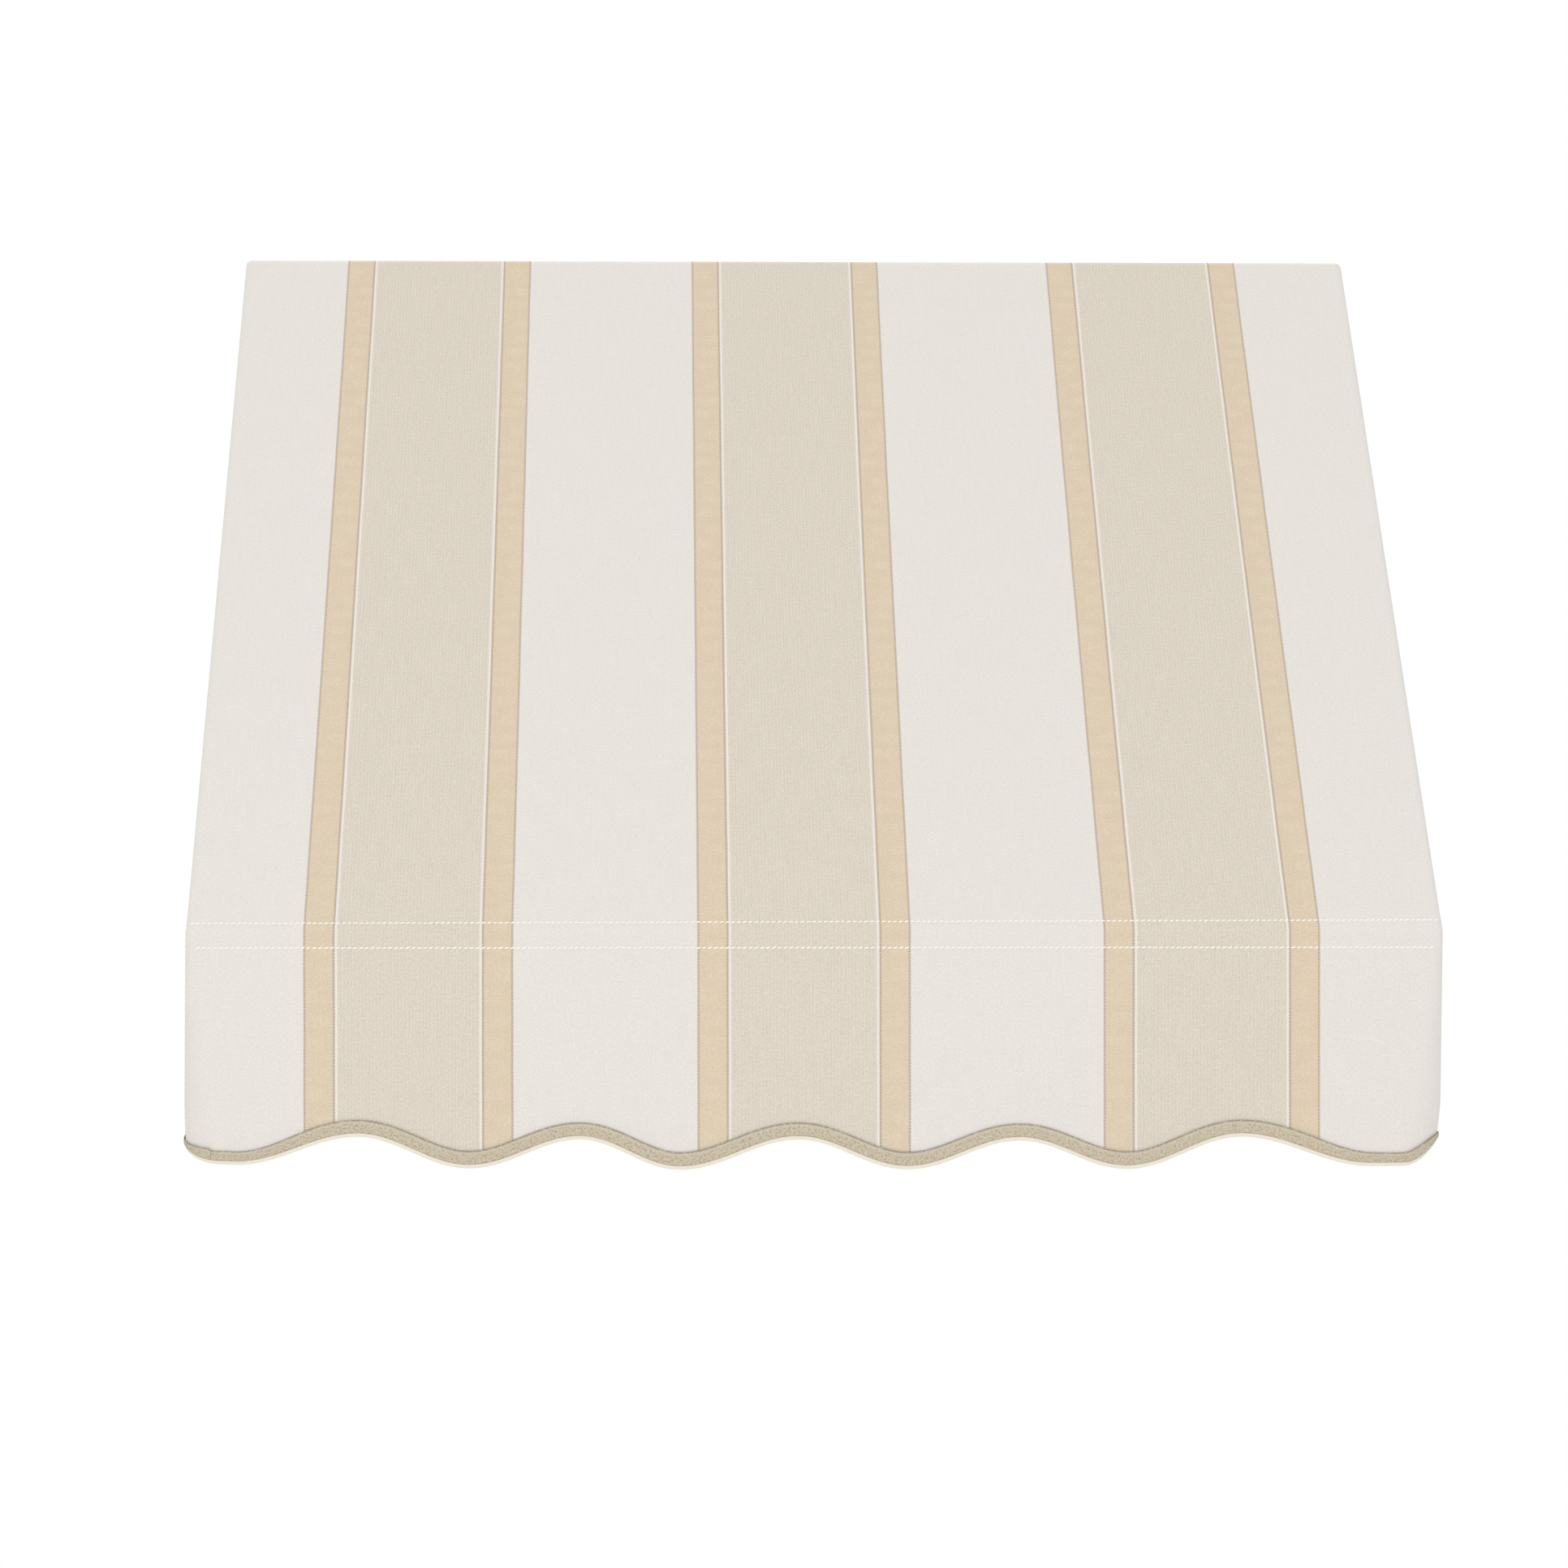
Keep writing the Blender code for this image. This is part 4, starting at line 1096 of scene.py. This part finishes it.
def make_front_pocket(material):
    """Sewn inside the slope above the bar and inside the valance below it, and round the bar's back."""
    flange = []
    for along in even(UPPER_ROW - 0.008, UPPER_ROW + 0.0015, 0.0032):
        y, z, ny, nz = (float(value) for value in CANOPY.at(along))
        flange.append((y - ny * LAP, z - nz * LAP))
    reach = UPPER_ROW_RISE - 0.0015
    start = DOWN_SLOPE - math.pi / 2 - 2 * math.atan(reach / SHEET_RADIUS)
    loop = arc_places((FRONT_Y, -DROP), POCKET_RADIUS, start, -math.pi / 2, 30)
    front = FRONT_Y - SHEET_RADIUS + LAP
    foot = -DROP - POCKET_RADIUS
    tail = [(front + 0.004, foot), (front + 0.0009, foot - 0.0002), (front, foot - 0.0014)]
    tail += [(front, foot - drop) for drop in (0.005, 0.009, 0.0125)]

    def place_of(across, place):
        return across, np.full_like(across, place[0]), np.full_like(across, place[1])

    section = flange + loop + tail
    name = "front_pocket_cloth"
    return pocket_piece(name, section, place_of, -SLEEVE_HALF, SLEEVE_HALF, material, "front_bar_pocket")


def make_side_pocket(name, side, material):
    wall = COVER_HALF - LAP
    top = [(wall, -DROP + rise) for rise in (0.0265, 0.022, 0.018, 0.0150)]
    top += [(wall - 0.0006, -DROP + 0.0138), (wall - 0.0025, -DROP + POCKET_RADIUS)]
    loop = arc_places((SIDE_X, -DROP), POCKET_RADIUS, math.pi / 2, 3 * math.pi / 2, 26)
    bottom = [(x, -2 * DROP - z) for x, z in reversed(top)]

    def place_of(across, place):
        return np.full_like(across, side * place[0]), across, np.full_like(across, place[1])

    section = top + loop + bottom
    ends = (FRONT_Y + SLEEVE_SETBACK, BACK_Y - SLEEVE_SETBACK)
    return pocket_piece(name + "_pocket_cloth", section, place_of, *ends, material, name + "_bar_pocket")


def stitch_template():
    """One lying stitch: a thread that comes out of the cloth, runs along it and goes in again."""
    rings, sides = 9, 7
    points, faces = [], []
    for ring in range(rings):
        share = ring / (rings - 1)
        arch = math.sin(math.pi * share)
        x = (share - 0.5) * STITCH_LENGTH
        rise = STITCH_WIDTH * (0.42 * arch**0.6 - 0.18)
        thick = STITCH_WIDTH / 2 * (0.55 + 0.45 * arch**0.5)
        for corner in range(sides):
            turn = 2 * math.pi * corner / sides
            points.append((x, thick * math.cos(turn), rise + thick * 0.7 * math.sin(turn)))
    for first in range(0, (rings - 1) * sides, sides):
        for corner in range(sides):
            after = (corner + 1) % sides
            near, far = (first + corner, first + after), (first + sides + after, first + sides + corner)
            faces.append(near + far)
    faces.append(tuple(reversed(range(sides))))
    faces.append(tuple((rings - 1) * sides + corner for corner in range(sides)))
    return np.array(points), faces


def stitches(name, rows, material):
    """Rows of stitches as one piece. A row has places, directions along it and outward, and a slant."""
    points, faces = stitch_template()
    all_points, all_faces = [], []
    rng = np.random.default_rng(len(name))
    for places, forward, outward, slant in rows:
        for place, ahead, out in zip(places, forward, outward):
            ahead = ahead / np.linalg.norm(ahead)
            out = out / np.linalg.norm(out)
            side = np.cross(out, ahead)
            turn = slant + rng.normal(0.0, 0.05)
            lean = ahead * math.cos(turn) + side * math.sin(turn)
            cross = np.cross(out, lean)
            size = 1.0 + rng.normal(0.0, 0.04)
            moved = place + points[:, :1] * lean * size + points[:, 1:2] * cross + points[:, 2:] * out
            base = len(all_points) * len(points)
            all_points.append(moved)
            all_faces += [tuple(corner + base for corner in face) for face in faces]
    made = add_mesh(name, np.concatenate(all_points).tolist(), all_faces, material)
    return place_piece(made, "cover_cloth")


def same(direction, count):
    return np.tile(np.array(direction, float), (count, 1))


def canopy_row(across, along):
    """A row on the canopy through the given places of the flat cloth."""
    relief = canopy_relief(across, along) + THIN / 2
    places = cover_place(across, along, relief)
    forward = cover_place(across + ROW_STEP, along, relief) - cover_place(across - ROW_STEP, along, relief)
    down = cover_place(across, along + ROW_STEP, relief) - cover_place(across, along - ROW_STEP, relief)
    outward = np.cross(forward, -down)
    inward = cover_place(across, along) - cover_place(across, along, 0.001)
    outward *= -np.sign(np.sum(outward * inward, axis=-1))[:, None]
    return places, forward, outward, STITCH_SLANT


def front_rows():
    count = round(2 * ROW_HALF / STITCH_PITCH)
    across = (np.arange(count) - (count - 1) / 2) * STITCH_PITCH
    rows = []
    for (row, tilt), reach in zip(STITCH_ROWS, ROW_REACHES):
        kept = across[np.abs(across) < reach]
        rows.append(canopy_row(kept, row + tilt * kept))
    return rows


def seam_rows():
    """One row down each side seam, through the canopy's edge and the wing under it."""
    along = even(SLOPE_START + 0.012, BAR_LEVEL + HEM_DEPTH - 0.020, STITCH_PITCH)
    out = THIN / 2 + LAP
    rows = []
    for side in (-1, 1):
        places = cover_place(side * (side_edge(along) - SEAM_STITCH_INSET), along, out)
        after = along + ROW_STEP
        after = cover_place(side * (side_edge(after) - SEAM_STITCH_INSET), after, out)
        rows.append((places, after - places, same((side, 0, 0), len(along)), 0.0))
    return rows


def wing_rows(side):
    """Two rows that hold the side bar's pocket, and one that closes the wall bar's sleeve."""
    forward = np.arange(FRONT_Y + SLEEVE_SETBACK + 0.004, BACK_Y - SLEEVE_SETBACK - 0.003, STITCH_PITCH)
    upright = np.arange(SLEEVE_FOOT + 0.004, -SLEEVE_SETBACK - 0.003, STITCH_PITCH)
    lines = []
    for level in (0.0178, -0.0178):
        lines.append((forward, np.full_like(forward, level - DROP), (0.0, -side, 0.0)))
    lines.append((np.full_like(upright, BACK_Y - SHEET_RADIUS - 0.007), upright, (0.0, 0.0, 1.0)))
    rows = []
    for y, height, ahead in lines:
        out = COVER_HALF + THIN / 2 + wing_lift(side, y, height)
        places = np.stack([side * out, y, height], axis=-1)
        rows.append((places, same(ahead, len(y)), same((side, 0, 0), len(y)), STITCH_SLANT))
    return rows


SIDES = (("left", -1), ("right", 1))

dress_metal(frame["nodes"])
make_screws(frame["nodes"], metal("zinc_plate", ZINC, (0.0006, 0.0006, 0.0006), 0.36, 0.00003))
canopy_cloth = striped_cloth("striped_canopy_cloth", GOLD_CENTRES, STITCH_ROWS, HOLES_REACH)
wing_cloth = striped_cloth("striped_wing_cloth", WING_GOLD_CENTRES)
lining = plain_cloth("cream_pocket_cloth")
thread = thread_material("cream_thread")

canopy = make_canopy(canopy_cloth)
wings = {name: make_wing(name, side, wing_cloth) for name, side in SIDES}
khaki = braid_cloth("khaki_braid_weave")
run = hem_run()
front_run = run[(run > LEFT_LAP - 0.012) & (run < RIGHT_LAP + 0.012)]
left_run = stations(run[run < LEFT_LAP], LEFT_LAP - np.linspace(0.0, LAP_ROUNDING, 6))
right_run = stations(run[run > RIGHT_LAP], RIGHT_LAP + np.linspace(0.0, LAP_ROUNDING, 6))
lap = BRAID_THICK * 0.75
braids = [
    make_braid("front_braid", front_run, 0.0, band_share, khaki),
    make_braid("left_braid", left_run, lap, left_share, khaki),
    make_braid("right_braid", right_run, lap, band_share, khaki),
]
binding = make_binding(binding_cloth("cream_binding"))
front_pocket, front_pocket_length = make_front_pocket(lining)
side_pockets = {name: make_side_pocket(name, side, lining) for name, side in SIDES}
front_stitches = stitches("front_pocket_stitches", front_rows(), thread)
seam_stitches = stitches("side_seam_stitches", seam_rows(), thread)
wing_stitches = {name: stitches(name + "_wing_stitches", wing_rows(side), thread) for name, side in SIDES}


# Camera and light
CAMERA_PLACE = (-0.15291, -4.48506, -0.54365)
CAMERA_YAW = -1.785
CAMERA_PITCH = -0.320
CAMERA_ROLL = -0.070
CAMERA_LENS = 91.87
WORLD_LIGHT = 0.80
FLOOR_LEVEL = -2.3
FLOOR_GLOW = 0.25


def make_camera():
    data = bpy.data.cameras.new("camera")
    data.lens = CAMERA_LENS
    data.sensor_width = 36.0
    made = add_object("camera", data)
    turn = Matrix.Rotation(math.radians(CAMERA_YAW), 4, "Z")
    turn = turn @ Matrix.Rotation(math.radians(90 + CAMERA_PITCH), 4, "X")
    turn = turn @ Matrix.Rotation(math.radians(CAMERA_ROLL), 4, "Z")
    made.matrix_world = Matrix.Translation(CAMERA_PLACE) @ turn
    bpy.context.scene.camera = made


def make_world():
    """White where the camera looks, also through glass or in a gloss; a plain even light elsewhere."""
    world = bpy.data.worlds.new("studio")
    bpy.context.scene.world = world
    world.use_nodes = True
    nodes = Nodes(world.node_tree)
    path = nodes.add("LightPath").outputs
    seen = nodes.math("MAXIMUM", path["Is Camera Ray"], path["Is Transmission Ray"])
    shown = nodes.math("MAXIMUM", seen, path["Is Glossy Ray"])
    background = nodes.tree.nodes["Background"]
    background.inputs["Color"].default_value = WHITE
    nodes.put(background.inputs["Strength"], nodes.scaled(shown, 1.0 - WORLD_LIGHT, WORLD_LIGHT))


def make_lamp(name, place, target, size, power):
    data = bpy.data.lights.new(name, "AREA")
    data.shape = "RECTANGLE"
    data.size, data.size_y = size
    data.energy = power
    made = add_object(name, data)
    facing = (Vector(target) - Vector(place)).to_track_quat("-Z", "Y").to_matrix().to_4x4()
    made.matrix_world = Matrix.Translation(place) @ facing


def make_floor():
    """A plain pale floor, which the camera sees lit up to white."""
    mat = Shader("pale_floor")
    path = mat.add("LightPath").outputs
    mat.base(PALE)
    mat.principled.inputs["Emission Color"].default_value = WHITE
    glow = mat.times(path["Is Camera Ray"], FLOOR_GLOW)
    mat.put(mat.principled.inputs["Emission Strength"], glow)
    mesh = bpy.data.meshes.new("floor")
    half, front, back = 3.2, -3.6, 2.6
    outline = ((-half, front), (half, front), (half, back), (-half, back))
    mesh.from_pydata([(x, y, FLOOR_LEVEL) for x, y in outline], [], [(0, 1, 2, 3)])
    mesh.materials.append(mat.finish(0.9, specular=0.0))
    made = add_object("floor", mesh)


make_camera()
make_world()
make_floor()
make_lamp("front_light", (-0.8, -6.0, 1.4), (0.0, -0.4, -0.5), (9.0, 4.0), 100.0)
make_lamp("rim_light", (0.0, 1.6, 1.9), (0.0, 0.0, 0.0), (3.0, 0.8), 20.0)
bpy.context.scene.view_settings.view_transform = "Standard"
